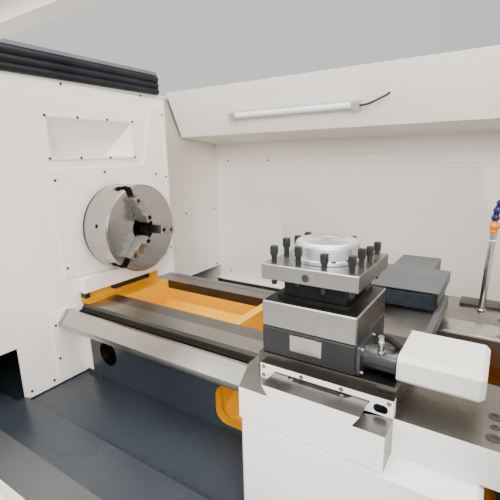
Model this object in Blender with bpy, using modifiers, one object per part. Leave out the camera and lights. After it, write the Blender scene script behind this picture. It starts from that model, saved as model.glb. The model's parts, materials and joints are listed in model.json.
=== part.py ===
"""Flat-bed CNC turning lathe with a guarded work space, built in metres with +Z up.

Every piece is drawn in the spindle datum: x is measured from the chuck's face towards the
tailstock, y and z from the spindle axis, and the datum itself stands over the middle of the
floor plan. Pieces that move hang on an empty that lies on the axis of their joint.
"""
import math

import bmesh
import bpy
from mathutils import Matrix, Vector

# Driving dimensions of the whole machine
CENTRE_HEIGHT = 1.050        # floor to spindle axis
CABINET_LENGTH = 1.000       # outside of the headstock cabinet, left end to side wall
CHUCK_STANDOUT = 0.120       # side wall to chuck face
WORK_LENGTH = 1.420          # chuck face to the right end of the guard
FRONT_REACH = 0.630          # spindle axis to the front of the door handle
REAR_REACH = 0.830           # spindle axis to the back of the electrical cabinet
SWING_RADIUS = 0.203         # spindle axis to the ridge of the ways
CHUCK_RADIUS = 0.125
CHUCK_LENGTH = 0.094
BACKPLATE_LENGTH = 0.011
SPINDLE_BORE = 0.026         # radius of the hole through the spindle
GUARD_TOP = 0.395            # spindle axis to the upper edge of the guards
GUARD_FRONT = 0.530          # spindle axis to the front skin
GUARD_REAR = 0.530           # spindle axis to the back skin of the headstock cabinet
GUARD_FOOT = 0.080           # floor to the lower edge of the guards
SHEET = 0.002                # guard sheet
CLEAR = 0.0003               # gap between touching pieces
OVERRUN = 0.010              # how far a cutter passes its work

WALL = -CHUCK_STANDOUT
LEFT = WALL - CABINET_LENGTH
RIGHT = WORK_LENGTH
FLOOR = -CENTRE_HEIGHT
WAY_TOP = -SWING_RADIUS

DRIVE_ROOM = 0.160           # left skin to the belt pulleys
PULLEY_WIDTH = 0.050
HEADSTOCK_GAP = 0.040        # pulley to headstock casting
HEADSTOCK_SETBACK = 0.025    # headstock casting to side wall
TAIL_ROOM = 0.340            # tailstock to the right end
TAIL_REST = 0.165            # tailstock to the saddle at rest
SADDLE_LENGTH = 0.386
PULLEY_START = LEFT + DRIVE_ROOM
HEADSTOCK_LEFT = PULLEY_START + PULLEY_WIDTH + HEADSTOCK_GAP
HEADSTOCK_RIGHT = WALL - HEADSTOCK_SETBACK
TAIL_LEFT = RIGHT - TAIL_ROOM
SADDLE_RIGHT = TAIL_LEFT - TAIL_REST
SADDLE_LEFT = SADDLE_RIGHT - SADDLE_LENGTH

parts = bpy.data.collections.new("cnc_turning_lathe")
cutters = bpy.data.collections.new("cutters")

TURN_TO = {                  # lays a section's plane across an axis
    "X": Matrix(((0, 0, 1), (1, 0, 0), (0, 1, 0))).to_4x4(),
    "Y": Matrix(((1, 0, 0), (0, 0, -1), (0, 1, 0))).to_4x4(),
    "Z": Matrix.Identity(4),
}
SPIN_TO = {**TURN_TO, "Y": Matrix(((0, 1, 0), (0, 0, 1), (1, 0, 0))).to_4x4()}   # points +Z along an axis


def start_empty():
    """Clear the scene and link the two collections."""
    for old in list(bpy.data.objects):
        bpy.data.objects.remove(old)
    bpy.context.scene.collection.children.link(parts)
    bpy.context.scene.collection.children.link(cutters)


start_empty()


# Paints and metals

def material(name, colour, roughness, metallic=0.0):
    """Principled material with one colour."""
    made = bpy.data.materials.new(name)
    made.use_nodes = True
    shader = made.node_tree.nodes["Principled BSDF"]
    shader.inputs["Base Color"].default_value = (*colour, 1.0)
    shader.inputs["Roughness"].default_value = roughness
    shader.inputs["Metallic"].default_value = metallic
    return made


CREAM = material("cream_paint", (0.80, 0.77, 0.69), 0.45)
WHITE = material("white_paint", (0.85, 0.85, 0.82), 0.40)
BED_YELLOW = material("bed_yellow_paint", (0.90, 0.38, 0.01), 0.35)
SLATE = material("slate_paint", (0.045, 0.06, 0.075), 0.45)
CHARCOAL = material("charcoal_paint", (0.06, 0.06, 0.06), 0.40)
GREY = material("grey_paint", (0.25, 0.26, 0.28), 0.45)
BLACK = material("black_rubber", (0.02, 0.02, 0.02), 0.60)
STEEL = material("ground_steel", (0.55, 0.54, 0.52), 0.28, 1.0)
DARK_STEEL = material("dark_steel", (0.12, 0.12, 0.12), 0.40, 1.0)
IRON = material("cast_iron", (0.30, 0.29, 0.28), 0.50, 0.8)
ALUMINIUM = material("turned_aluminium", (0.75, 0.76, 0.77), 0.25, 1.0)
DIFFUSER = material("lamp_diffuser", (0.80, 0.82, 0.83), 0.30)
GLAZING = material("window_glazing", (0.30, 0.34, 0.34), 0.08)
SCREEN_GLASS = material("screen_glass", (0.03, 0.04, 0.05), 0.10)
RED = material("red_plastic", (0.60, 0.02, 0.02), 0.35)
BLUE = material("blue_plastic", (0.02, 0.04, 0.30), 0.40)


# Ways of making a shape

def pivot(name, place=(0.0, 0.0, 0.0), parent=None):
    """Empty on a joint's axis; its place is given in the spindle datum."""
    empty = bpy.data.objects.new(name, None)
    parts.objects.link(empty)
    empty["datum_place"] = place
    if parent is not None:
        empty.parent = parent
        empty.location = Vector(place) - Vector(parent["datum_place"])
    return empty


datum = pivot("spindle_datum")
datum.location = (-(LEFT + RIGHT) / 2, (FRONT_REACH - REAR_REACH) / 2, CENTRE_HEIGHT)


def shape(name, mesh, place=(0.0, 0.0, 0.0), turn=None):
    """Loose object in the spindle datum, waiting to become a part or a cutter."""
    made = bpy.data.objects.new(name, mesh)
    if turn is not None:
        made.rotation_euler = turn.to_euler()
    made.location = place
    return made


def part(made, colour, carrier=None):
    """Keep a shape as a named part with its material on the pivot that carries it."""
    carrier = carrier or datum
    parts.objects.link(made)
    made.data.materials.clear()
    made.data.materials.append(colour)
    made.parent = carrier
    made.location = made.location - Vector(carrier["datum_place"])
    return made


def tool(made):
    """Keep a shape as a hidden cutter or joining body."""
    cutters.objects.link(made)
    made.hide_render = True
    made.display_type = "WIRE"
    made.parent = datum
    return made


def cut(work, *tools):
    """Take each tool away from the work."""
    for body in tools:
        step = work.modifiers.new("cut_" + body.name, "BOOLEAN")
        step.operation = "DIFFERENCE"
        step.solver = "EXACT"
        step.object = tool(body)
    return work


def add(work, *tools):
    """Join each tool to the work."""
    for body in tools:
        step = work.modifiers.new("join_" + body.name, "BOOLEAN")
        step.operation = "UNION"
        step.solver = "EXACT"
        step.object = tool(body)
    return work


def soften(work, width, segments=1, angle=math.radians(40)):
    """Break the sharp edges."""
    step = work.modifiers.new("edges", "BEVEL")
    step.width = width
    step.segments = segments
    step.limit_method = "ANGLE"
    step.angle_limit = angle
    return work


def box(name, low, high):
    """Rectangular block between two corners."""
    mesh = bpy.data.meshes.new(name)
    bm = bmesh.new()
    size = [b - a for a, b in zip(low, high)]
    bmesh.ops.create_cube(bm, size=1.0, matrix=Matrix.Diagonal((*size, 1.0)))
    bm.to_mesh(mesh)
    bm.free()
    return shape(name, mesh, [(a + b) / 2 for a, b in zip(low, high)])


def rods(name, axis, radius, length, places, sides=24):
    """Cylinders along one axis, each starting at its own place."""
    mesh = bpy.data.meshes.new(name)
    bm = bmesh.new()
    for place in places:
        middle = Matrix.Translation((0.0, 0.0, length / 2))
        bmesh.ops.create_cone(
            bm, cap_ends=True, segments=sides, radius1=radius, radius2=radius, depth=length,
            matrix=Matrix.Translation(place) @ SPIN_TO[axis] @ middle)
    bm.to_mesh(mesh)
    bm.free()
    return shape(name, mesh)


def bar(name, axis, outline, start, end, holes=()):
    """Section extruded along an axis; the section's pairs are the two other axes in order."""
    curve = bpy.data.curves.new(name, "CURVE")
    curve.dimensions = "2D"
    curve.fill_mode = "BOTH"
    curve.extrude = abs(end - start) / 2
    for loop in (outline, *holes):
        spline = curve.splines.new("POLY")
        spline.points.add(len(loop) - 1)
        for point, (a, b) in zip(spline.points, loop):
            point.co = (a, b, 0.0, 1.0)
        spline.use_cyclic_u = True
    drawn = bpy.data.objects.new(name + "_section", curve)
    cutters.objects.link(drawn)
    graph = bpy.context.evaluated_depsgraph_get()
    mesh = bpy.data.meshes.new_from_object(drawn.evaluated_get(graph))
    mesh.name = name
    bm = bmesh.new()
    bm.from_mesh(mesh)
    bmesh.ops.remove_doubles(bm, verts=bm.verts, dist=0.00001)
    bm.to_mesh(mesh)
    bm.free()
    bpy.data.objects.remove(drawn)
    middle = Vector((0.0, 0.0, (start + end) / 2))
    if axis == "Y":
        middle.z = -middle.z
    return shape(name, mesh, TURN_TO[axis] @ middle, TURN_TO[axis])


def turned(name, axis, profile, place=(0.0, 0.0, 0.0), steps=48, closed=False):
    """Profile of radius and height, outer side first from the top down, turned about an axis."""
    mesh = bpy.data.meshes.new(name)
    points = [(radius, 0.0, height) for radius, height in profile]
    edges = [(i, i + 1) for i in range(len(points) - 1)]
    if closed:
        edges.append((len(points) - 1, 0))
    mesh.from_pydata(points, edges, [])
    made = shape(name, mesh, place, SPIN_TO[axis])
    step = made.modifiers.new("turn", "SCREW")
    step.axis = "Z"
    step.angle = math.tau
    step.steps = steps
    step.render_steps = steps
    step.use_merge_vertices = True
    step.merge_threshold = 0.00001
    return made


def ring(name, axis, outer, inner, start, end, place=(0.0, 0.0, 0.0), steps=48):
    """Plain washer or sleeve."""
    profile = [(outer, end), (outer, start), (inner, start), (inner, end)]
    return turned(name, axis, profile, place, steps, closed=True)


def tube(name, points, radius, radii=None, resolution=2):
    """Round wire or pipe through a list of points; radii are shares of the radius."""
    curve = bpy.data.curves.new(name, "CURVE")
    curve.dimensions = "3D"
    curve.bevel_depth = radius
    curve.bevel_resolution = resolution
    curve.use_fill_caps = True
    spline = curve.splines.new("POLY")
    spline.points.add(len(points) - 1)
    for i, (point, place) in enumerate(zip(spline.points, points)):
        point.co = (*place, 1.0)
        point.radius = radii[i] if radii else 1.0
    return shape(name, curve)


def arc(centre, radius, start, end, steps):
    """Points on a circular arc; angles in degrees, both ends included."""
    turns = [math.radians(start + (end - start) * i / steps) for i in range(steps + 1)]
    return [(centre[0] + radius * math.cos(a), centre[1] + radius * math.sin(a)) for a in turns]


def rounded(low, high, radius, steps=4):
    """Rectangle with round corners, anticlockwise."""
    (x0, y0), (x1, y1) = low, high
    return (arc((x1 - radius, y0 + radius), radius, -90, 0, steps)
            + arc((x1 - radius, y1 - radius), radius, 0, 90, steps)
            + arc((x0 + radius, y1 - radius), radius, 90, 180, steps)
            + arc((x0 + radius, y0 + radius), radius, 180, 270, steps))


def shell(name, low, high, open_sides, thickness):
    """Box of sheet with some sides left out; sides are named like +X or -Z."""
    block = box(name, low, high)
    bm = bmesh.new()
    bm.from_mesh(block.data)
    for face in list(bm.faces):
        axis = max(range(3), key=lambda k: abs(face.normal[k]))
        side = ("+" if face.normal[axis] > 0 else "-") + "XYZ"[axis]
        if side in open_sides:
            bmesh.ops.delete(bm, geom=[face], context="FACES")
    bm.to_mesh(block.data)
    bm.free()
    step = block.modifiers.new("sheet", "SOLIDIFY")
    step.thickness = thickness
    step.offset = -1.0
    step.use_even_offset = True
    return block


def loft(name, *loops):
    """Closed skin over loops that have the same number of points, flat at both ends."""
    count = len(loops[0])
    faces = [tuple(range(count))[::-1], tuple(range((len(loops) - 1) * count, len(loops) * count))]
    for k in range(len(loops) - 1):
        for i in range(count):
            j = (i + 1) % count
            faces.append((k * count + i, k * count + j, (k + 1) * count + j, (k + 1) * count + i))
    mesh = bpy.data.meshes.new(name)
    mesh.from_pydata([point for loop in loops for point in loop], [], faces)
    bm = bmesh.new()
    bm.from_mesh(mesh)
    bmesh.ops.recalc_face_normals(bm, faces=bm.faces)
    bm.to_mesh(mesh)
    bm.free()
    return shape(name, mesh)


# Base, chip tray and bed

BASE_PLATE = 0.030
BASE_FRONT = -0.450
BASE_REAR = 0.480
BASE_INSET = 0.060           # base ends inside the guards
PEDESTAL_WALL = 0.025
REAR_BEAM = 0.160
BAY_LINTEL = 0.090
HEAD_PEDESTAL_END = 0.020
TAIL_PEDESTAL_LENGTH = 0.300
PAD_HEIGHT = 0.030
PAD_RADIUS = 0.045
PAD_INSET = 0.052
TRAY_FLOOR = -0.412
TRAY_BOTTOM = TRAY_FLOOR - SHEET
TRAY_FRONT = -0.333
TRAY_REAR = 0.492
TRAY_RIM = 0.014
TRAY_FLANGE = 0.022
TRAY_BACK_HEIGHT = 0.112
TRAY_END_GAP = 0.040
TRAY_END = RIGHT - TRAY_END_GAP
BASE_TOP = TRAY_BOTTOM - CLEAR
BASE_FOOT = FLOOR + PAD_HEIGHT
BASE_LEFT = LEFT + BASE_INSET
BASE_RIGHT = RIGHT - BASE_INSET
TAIL_PEDESTAL_START = BASE_RIGHT - TAIL_PEDESTAL_LENGTH
SILL_INSIDE = 0.200          # sill behind the side wall


def build_base():
    """Cast base: two hollow pedestals, rear beam and front chip bay on six levelling pads."""
    work = box("base", (BASE_LEFT, BASE_FRONT, BASE_FOOT), (BASE_RIGHT, BASE_REAR, BASE_TOP))
    below = BASE_FOOT - OVERRUN
    inside = BASE_TOP - BASE_PLATE
    front = BASE_FRONT + PEDESTAL_WALL
    rear = BASE_REAR - PEDESTAL_WALL
    bay = box("chip_bay", (HEAD_PEDESTAL_END, BASE_FRONT - OVERRUN, below),
              (TAIL_PEDESTAL_START, BASE_REAR - REAR_BEAM, BASE_TOP - BAY_LINTEL))
    head = box("head_hollow", (BASE_LEFT + PEDESTAL_WALL, front, below),
               (HEAD_PEDESTAL_END - PEDESTAL_WALL, rear, inside))
    tail = box("tail_hollow", (TAIL_PEDESTAL_START + PEDESTAL_WALL, front, below),
               (BASE_RIGHT - PEDESTAL_WALL, rear, inside))
    cut(work, bay, head, tail)
    places = [(x, y, FLOOR)
              for x in (BASE_LEFT + PAD_INSET, HEAD_PEDESTAL_END - PAD_INSET,
                        TAIL_PEDESTAL_START + PAD_INSET, BASE_RIGHT - PAD_INSET)
              for y in (BASE_FRONT + PAD_INSET, BASE_REAR - PAD_INSET)]
    add(work, rods("levelling_pads", "Z", PAD_RADIUS, PAD_HEIGHT + BASE_PLATE, places))
    part(work, SLATE)


def build_chip_tray():
    """Sheet tray under the bed with a low front rim, a flange and a high back."""
    rim = TRAY_FLOOR + TRAY_RIM
    back = TRAY_FLOOR + TRAY_BACK_HEIGHT
    outline = [
        (TRAY_FRONT - TRAY_FLANGE, rim), (TRAY_FRONT - TRAY_FLANGE, rim - SHEET),
        (TRAY_FRONT, rim - SHEET), (TRAY_FRONT, TRAY_BOTTOM), (TRAY_REAR, TRAY_BOTTOM),
        (TRAY_REAR, back), (TRAY_REAR - SHEET, back), (TRAY_REAR - SHEET, TRAY_FLOOR),
        (TRAY_FRONT + SHEET, TRAY_FLOOR), (TRAY_FRONT + SHEET, rim)]
    work = bar("chip_tray", "X", outline, WALL + CLEAR, TRAY_END)
    end = box("tray_end", (TRAY_END - SHEET, TRAY_FRONT, TRAY_BOTTOM), (TRAY_END, TRAY_REAR, back))
    low = DOOR_SILL - SHEET
    sill = bar("front_sill", "X", [
        (-GUARD_FRONT + DOOR_RIM + CLEAR, low), (TRAY_FRONT - TRAY_FLANGE, rim - SHEET),
        (TRAY_FRONT - TRAY_FLANGE + SHEET, rim - SHEET), (TRAY_FRONT - TRAY_FLANGE + SHEET, rim),
        (TRAY_FRONT - TRAY_FLANGE, rim), (-GUARD_FRONT + DOOR_RIM + CLEAR, low + SHEET)],
               WALL - SILL_INSIDE, DOOR_OPENING_RIGHT)
    part(add(work, end, sill), SLATE)


BED_BOTTOM = TRAY_FLOOR + CLEAR
BED_STEP = 0.005             # bed past the headstock casting
BED_END_GAP = 0.010
PANEL_PLATE = 0.002
BED_LEFT = HEADSTOCK_LEFT - BED_STEP
BED_RIGHT = TRAY_END - BED_END_GAP
WAY_START = WALL + CLEAR + PANEL_PLATE + CLEAR
BED_FRONT = -0.150
RAIL_FRONT = -0.222
RAIL_LOW = -0.246
RAIL_UNDERCUT = -0.270
RAIL_BREAK = -0.233
RIDGE_FRONT = -0.196
RIDGE_REAR = -0.188
GROOVE_FRONT = -0.168
GROOVE_REAR = -0.156
GROOVE_FLOOR = -0.240
INNER_STEP = -0.220
INNER_STEP_REAR = -0.149
INNER_WAY_FRONT = -0.138
INNER_WAY_DROP = 0.002
INNER_WAY_TOP = WAY_TOP - INNER_WAY_DROP
BAY_FRONT = -0.040
BAY_REAR = 0.142
REAR_WAY = 0.216
REAR_WAY_LOW = -0.250
REAR_WALL = 0.200
REAR_GROOVE = 0.187
REAR_GROOVE_SIZE = 0.003
BAY_FLOOR_REAR = -0.270
BAY_FLOOR_FRONT = -0.400
BAY_UNDER = -0.130
BAY_SHOULDER = -0.262
HEADSTOCK_SEAT = -0.250
HEADSTOCK_BED_FRONT = -0.131
BAY_SHARES = ((0.0386, 0.3008), (0.3176, 0.4958), (0.5159, 0.6941), (0.7143, 0.9529))
WINDOW_START = 0.006         # bay's left end to its window
WINDOW_STOP = 0.009
WINDOW_TOP = -0.301
WINDOW_BOTTOM = -0.398
WINDOW_CORNER = 0.030
DRAIN_X = -0.016
DRAIN_Z = -0.332
DRAIN_RADIUS = 0.035
Z_SCREW_Y = 0.270
Z_SCREW_Z = -0.262
Z_SCREW_RADIUS = 0.016
Z_BEARING_SETBACK = 0.060
Z_SCREW_END = BED_RIGHT - Z_BEARING_SETBACK
Z_BEARING_LENGTH = 0.040
Z_BEARING_REACH = 0.034      # half width of the bearing block


def bed_section():
    """Section of the bed across its length, front rail first."""
    return [
        (BED_FRONT, BED_BOTTOM), (BED_FRONT, RAIL_UNDERCUT), (RAIL_FRONT, RAIL_LOW),
        (RAIL_FRONT, RAIL_BREAK), (RIDGE_FRONT, WAY_TOP), (RIDGE_REAR, WAY_TOP),
        (GROOVE_FRONT, INNER_STEP), (GROOVE_FRONT, GROOVE_FLOOR), (GROOVE_REAR, GROOVE_FLOOR),
        (GROOVE_REAR, INNER_STEP), (INNER_STEP_REAR, INNER_STEP), (INNER_WAY_FRONT, INNER_WAY_TOP),
        (REAR_GROOVE, WAY_TOP), (REAR_GROOVE, WAY_TOP - REAR_GROOVE_SIZE),
        (REAR_GROOVE + REAR_GROOVE_SIZE, WAY_TOP - REAR_GROOVE_SIZE),
        (REAR_GROOVE + REAR_GROOVE_SIZE, WAY_TOP), (REAR_WAY, WAY_TOP), (REAR_WAY, REAR_WAY_LOW),
        (REAR_WALL, REAR_WAY_LOW), (REAR_WALL, BED_BOTTOM)]


def build_bed():
    """Cast bed with two front ways, a rear way, sloping bays and front chip windows."""
    work = bar("bed", "X", bed_section(), WAY_START, BED_RIGHT)
    seat = box("headstock_bed", (BED_LEFT, HEADSTOCK_BED_FRONT, BED_BOTTOM),
               (WAY_START + OVERRUN, REAR_WALL, HEADSTOCK_SEAT))
    add(work, seat)
    above = WAY_TOP + OVERRUN
    bay = [(BAY_FRONT, above), (BAY_REAR, above), (BAY_REAR, BAY_FLOOR_REAR),
           (BAY_UNDER, BAY_FLOOR_FRONT), (BAY_UNDER, WINDOW_TOP), (BAY_FRONT, BAY_SHOULDER)]
    for index, shares in enumerate(BAY_SHARES):
        start, end = [WAY_START + (BED_RIGHT - WAY_START) * share for share in shares]
        cut(work, bar(f"bay_{index}", "X", bay, start, end))
        if index:
            hole = rounded((start + WINDOW_START, WINDOW_BOTTOM), (end - WINDOW_STOP, WINDOW_TOP),
                           WINDOW_CORNER)
            cut(work, bar(f"window_{index}", "Y", hole, BED_FRONT - OVERRUN, BAY_UNDER + OVERRUN))
    cut(work, rods("drain", "Y", DRAIN_RADIUS, BAY_UNDER - BED_FRONT + OVERRUN + OVERRUN,
                   [(DRAIN_X, BED_FRONT - OVERRUN, DRAIN_Z)]))
    bearing = box("screw_bearing",
                  (Z_SCREW_END - Z_BEARING_LENGTH, REAR_WALL - OVERRUN, Z_SCREW_Z - Z_BEARING_REACH),
                  (Z_SCREW_END, Z_SCREW_Y + Z_BEARING_REACH, Z_SCREW_Z + Z_BEARING_REACH))
    add(work, bearing)
    cut(work, rods("screw_hole", "X", Z_SCREW_RADIUS + CLEAR, Z_BEARING_LENGTH + OVERRUN + OVERRUN,
                   [(Z_SCREW_END - Z_BEARING_LENGTH - OVERRUN, Z_SCREW_Y, Z_SCREW_Z)]))
    part(work, BED_YELLOW)


# Headstock, spindle and its drive

HEADSTOCK_HALF = 0.190
HEADSTOCK_TOP = 0.200
HEADSTOCK_SHIFT = 0.035      # casting stands a little to the rear on its bed seat
SPINDLE_RADIUS = 0.055
SPINDLE_TAIL = 0.010
SPINDLE_END = PULLEY_START - SPINDLE_TAIL
NOSE_RADIUS = 0.078
NOSE_LENGTH = 0.035
NOSE_START = -(CHUCK_LENGTH + BACKPLATE_LENGTH) - CLEAR
BEARING_CAP_RADIUS = 0.105
BEARING_CAP = 0.014
EDGE = 0.006
PULLEY_FLANGE = 0.006
PULLEY_LIP = 0.006
SPINDLE_PULLEY_RADIUS = 0.090
MOTOR_PULLEY_RADIUS = 0.060
MOTOR_Y = 0.345
MOTOR_Z = -0.290
MOTOR_RADIUS = 0.095
MOTOR_STEP = 0.010
MOTOR_LEFT = HEADSTOCK_LEFT + MOTOR_STEP
MOTOR_LENGTH = 0.330
MOTOR_SHAFT = 0.019
MOTOR_FOOT_HALF = 0.070
BELT_THICK = 0.005


def build_headstock():
    """Headstock casting with the spindle bore and a round bearing cap."""
    work = box("headstock_housing",
               (HEADSTOCK_LEFT, HEADSTOCK_SHIFT - HEADSTOCK_HALF, HEADSTOCK_SEAT + CLEAR),
               (HEADSTOCK_RIGHT - BEARING_CAP, HEADSTOCK_SHIFT + HEADSTOCK_HALF, HEADSTOCK_TOP))
    soften(work, EDGE)
    add(work, rods("bearing_cap", "X", BEARING_CAP_RADIUS, BEARING_CAP + OVERRUN,
                   [(HEADSTOCK_RIGHT - BEARING_CAP - OVERRUN, 0, 0)], 40))
    cut(work, rods("spindle_hole", "X", SPINDLE_RADIUS + CLEAR,
                   HEADSTOCK_RIGHT - HEADSTOCK_LEFT + OVERRUN + OVERRUN,
                   [(HEADSTOCK_LEFT - OVERRUN, 0, 0)], 40))
    part(work, GREY)


def build_spindle(turning):
    """Hollow spindle with its nose flange."""
    back = NOSE_START - NOSE_LENGTH
    profile = [(NOSE_RADIUS, NOSE_START), (NOSE_RADIUS, back), (SPINDLE_RADIUS, back),
               (SPINDLE_RADIUS, SPINDLE_END), (SPINDLE_BORE, SPINDLE_END), (SPINDLE_BORE, NOSE_START)]
    work = turned("spindle", "X", profile, steps=40, closed=True)
    wheel = pulley("spindle_pulley", SPINDLE_PULLEY_RADIUS, (PULLEY_START, 0, 0), SPINDLE_BORE + SHEET)
    part(add(work, wheel), STEEL, turning)


def pulley(name, radius, place, hole=0.0, shaft=0.0):
    """Flanged belt pulley with either a hole or a shaft on its right side."""
    end = PULLEY_WIDTH
    lip = radius + PULLEY_LIP
    rim = [(lip, end), (lip, end - PULLEY_FLANGE), (radius, end - PULLEY_FLANGE),
           (radius, PULLEY_FLANGE), (lip, PULLEY_FLANGE), (lip, 0)]
    if hole:
        return turned(name, "X", rim + [(hole, 0), (hole, end)], place, 40, closed=True)
    profile = [(0, shaft), (MOTOR_SHAFT, shaft), (MOTOR_SHAFT, end)] + rim + [(0, 0)]
    return turned(name, "X", profile, place, 32)


def belt_loop(centre, radius, far, far_radius, steps=30):
    """Outline of a belt round two pulleys."""
    reach = math.hypot(far[0] - centre[0], far[1] - centre[1])
    heading = math.degrees(math.atan2(far[1] - centre[1], far[0] - centre[0]))
    lean = math.degrees(math.acos((radius - far_radius) / reach))
    return (arc(centre, radius, heading + lean, heading + 360 - lean, steps)
            + arc(far, far_radius, heading - lean, heading + lean, steps))


def build_drive():
    """Spindle motor on its foot, and the belt between the pulleys."""
    work = rods("spindle_motor", "X", MOTOR_RADIUS, MOTOR_LENGTH,
                [(MOTOR_LEFT, MOTOR_Y, MOTOR_Z)], 40)
    foot = box("motor_foot", (MOTOR_LEFT + MOTOR_SHAFT, MOTOR_Y - MOTOR_FOOT_HALF, BASE_TOP + CLEAR),
               (MOTOR_LEFT + MOTOR_LENGTH - MOTOR_SHAFT, MOTOR_Y + MOTOR_FOOT_HALF,
                MOTOR_Z - MOTOR_FOOT_HALF))
    part(add(work, foot), GREY)
    inner, outer = [belt_loop((0, 0), SPINDLE_PULLEY_RADIUS + lift, (MOTOR_Y, MOTOR_Z),
                              MOTOR_PULLEY_RADIUS + lift)
                    for lift in (CLEAR, CLEAR + BELT_THICK)]
    gap = PULLEY_FLANGE + SHEET
    belt = bar("drive_belt", "X", outer, PULLEY_START + gap, PULLEY_START + PULLEY_WIDTH - gap, [inner])
    part(belt, BLACK)


# Chuck

CHUCK_BORE = 0.038
SCROLL_INNER = 0.046
SCROLL_OUTER = 0.104
SCROLL_SEAT = -0.050         # front of the scroll's chamber
SCROLL_LENGTH = 0.034
SLOT_HALF = 0.0105
SLOT_DEPTH = 0.0515
TEE_HALF = 0.0173
TEE_TOP = -0.016
TEE_BOTTOM = -0.036
BACKPLATE_RADIUS = 0.1235
CHUCK_CHAMFER = 0.004
KEY_HALF = 0.0055
KEY_DEPTH = 0.018
KEY_X = -0.042
JAW_INNER = 0.028
JAW_OUTER = 0.100
JAW_HALF = 0.0125
JAW_FOOT_INNER = 0.0465
JAW_STEP_SHARES = (0.333, 0.653, 1.0)
JAW_HEIGHTS = (0.045, 0.034, 0.024)
JAW_SCREW_HOLE = 0.0060
JAW_SCREW_SHARES = (0.14, 0.83)
JAW_COUNT = 3
CHUCK_PHASE = math.radians(-10)   # first jaw below the level line
JAW_TURN = math.tau / JAW_COUNT


def about_spindle(work, turn):
    """Turn a piece drawn along +Y about the spindle axis."""
    work.data.transform(Matrix.Rotation(turn, 4, "X") @ Matrix.Translation(work.location))
    work.location = (0.0, 0.0, 0.0)
    return work


def slot_outline(half, tee, top, bottom, deep):
    """T section across a jaw slot as pairs of width and depth."""
    return [(-half, top), (half, top), (half, TEE_TOP), (tee, TEE_TOP), (tee, bottom), (half, bottom),
            (half, deep), (-half, deep), (-half, bottom), (-tee, bottom), (-tee, TEE_TOP), (-half, TEE_TOP)]


def radial_bar(name, outline, start, end):
    """Section of width and axial depth drawn out along +Y."""
    work = bar(name, "Y", outline, start, end)
    turn = Matrix(((0, 0, 1), (0, 1, 0), (1, 0, 0))).to_4x4()
    work.data.transform(turn @ Matrix.Translation(work.location) @ TURN_TO["Y"])
    work.rotation_euler = (0.0, 0.0, 0.0)
    work.location = (0.0, 0.0, 0.0)
    bm = bmesh.new()
    bm.from_mesh(work.data)
    bmesh.ops.recalc_face_normals(bm, faces=bm.faces)
    bm.to_mesh(work.data)
    bm.free()
    return work


def build_chuck(turning):
    """Chuck body with three T-slots, the scroll's chamber and three key sockets."""
    part(ring("chuck_backplate", "X", BACKPLATE_RADIUS, SPINDLE_BORE, -CHUCK_LENGTH - BACKPLATE_LENGTH,
              -CHUCK_LENGTH - CLEAR), DARK_STEEL, turning)
    rim = CHUCK_RADIUS - CHUCK_CHAMFER
    profile = [(rim, 0), (CHUCK_RADIUS, -CHUCK_CHAMFER), (CHUCK_RADIUS, -CHUCK_LENGTH),
               (SCROLL_OUTER, -CHUCK_LENGTH), (SCROLL_OUTER, SCROLL_SEAT), (SCROLL_INNER, SCROLL_SEAT),
               (SCROLL_INNER, -CHUCK_LENGTH), (CHUCK_BORE, -CHUCK_LENGTH), (CHUCK_BORE, 0)]
    work = turned("chuck_body", "X", profile, steps=64, closed=True)
    outline = slot_outline(SLOT_HALF, TEE_HALF, OVERRUN, TEE_BOTTOM, -SLOT_DEPTH)
    for index in range(JAW_COUNT):
        slot = radial_bar(f"slot_{index}", outline, CHUCK_BORE - OVERRUN, CHUCK_RADIUS + OVERRUN)
        key = box(f"key_{index}", (KEY_X - KEY_HALF, CHUCK_RADIUS - KEY_DEPTH, -KEY_HALF),
                  (KEY_X + KEY_HALF, CHUCK_RADIUS + OVERRUN, KEY_HALF))
        turn = CHUCK_PHASE + JAW_TURN * index
        cut(work, about_spindle(slot, turn), about_spindle(key, turn + JAW_TURN / 2))
    part(work, STEEL, turning)


def build_scroll(carrier):
    """Flat ring that drives the jaws from behind."""
    start = SCROLL_SEAT - CLEAR - SCROLL_LENGTH
    part(ring("chuck_scroll", "X", SCROLL_OUTER - CLEAR, SCROLL_INNER + CLEAR, start,
              SCROLL_SEAT - CLEAR - SHEET), DARK_STEEL, carrier)


def build_jaw(index, carrier):
    """Base jaw in its T-slot with a stepped top jaw on two socket screws."""
    length = JAW_OUTER - JAW_INNER
    turn = CHUCK_PHASE + JAW_TURN * index
    neck_half = SLOT_HALF - CLEAR
    tee_half = TEE_HALF - CLEAR
    neck = box(f"jaw_neck_{index}", (-SLOT_DEPTH, JAW_FOOT_INNER, -neck_half),
               (OVERRUN, JAW_OUTER - SHEET, neck_half))
    tee = box(f"jaw_tee_{index}", (TEE_BOTTOM + CLEAR, JAW_FOOT_INNER + SHEET, -tee_half),
              (TEE_TOP - CLEAR, JAW_OUTER - SHEET - SHEET, tee_half))
    inner = JAW_INNER
    top = [(CLEAR, JAW_INNER)]
    for share, height in zip(JAW_STEP_SHARES, JAW_HEIGHTS):
        top += [(height, inner), (height, JAW_INNER + length * share)]
        inner = JAW_INNER + length * share
    top += [(CLEAR, JAW_OUTER)]
    work = bar(f"jaw_{index + 1}", "Z", top, -JAW_HALF, JAW_HALF)
    holes = []
    for number, share in enumerate(JAW_SCREW_SHARES):
        hole = rods(f"jaw_hole_{index}_{number}", "X", JAW_SCREW_HOLE, JAW_HEIGHTS[0],
                    [(JAW_HEIGHTS[2] - JAW_SCREW_HOLE, JAW_INNER + length * share, 0)], 12)
        holes.append(about_spindle(hole, turn))
    for body in (work, neck, tee):
        about_spindle(body, turn)
    part(cut(add(work, neck, tee), *holes), STEEL, carrier)


# Guards round the work space

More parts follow.
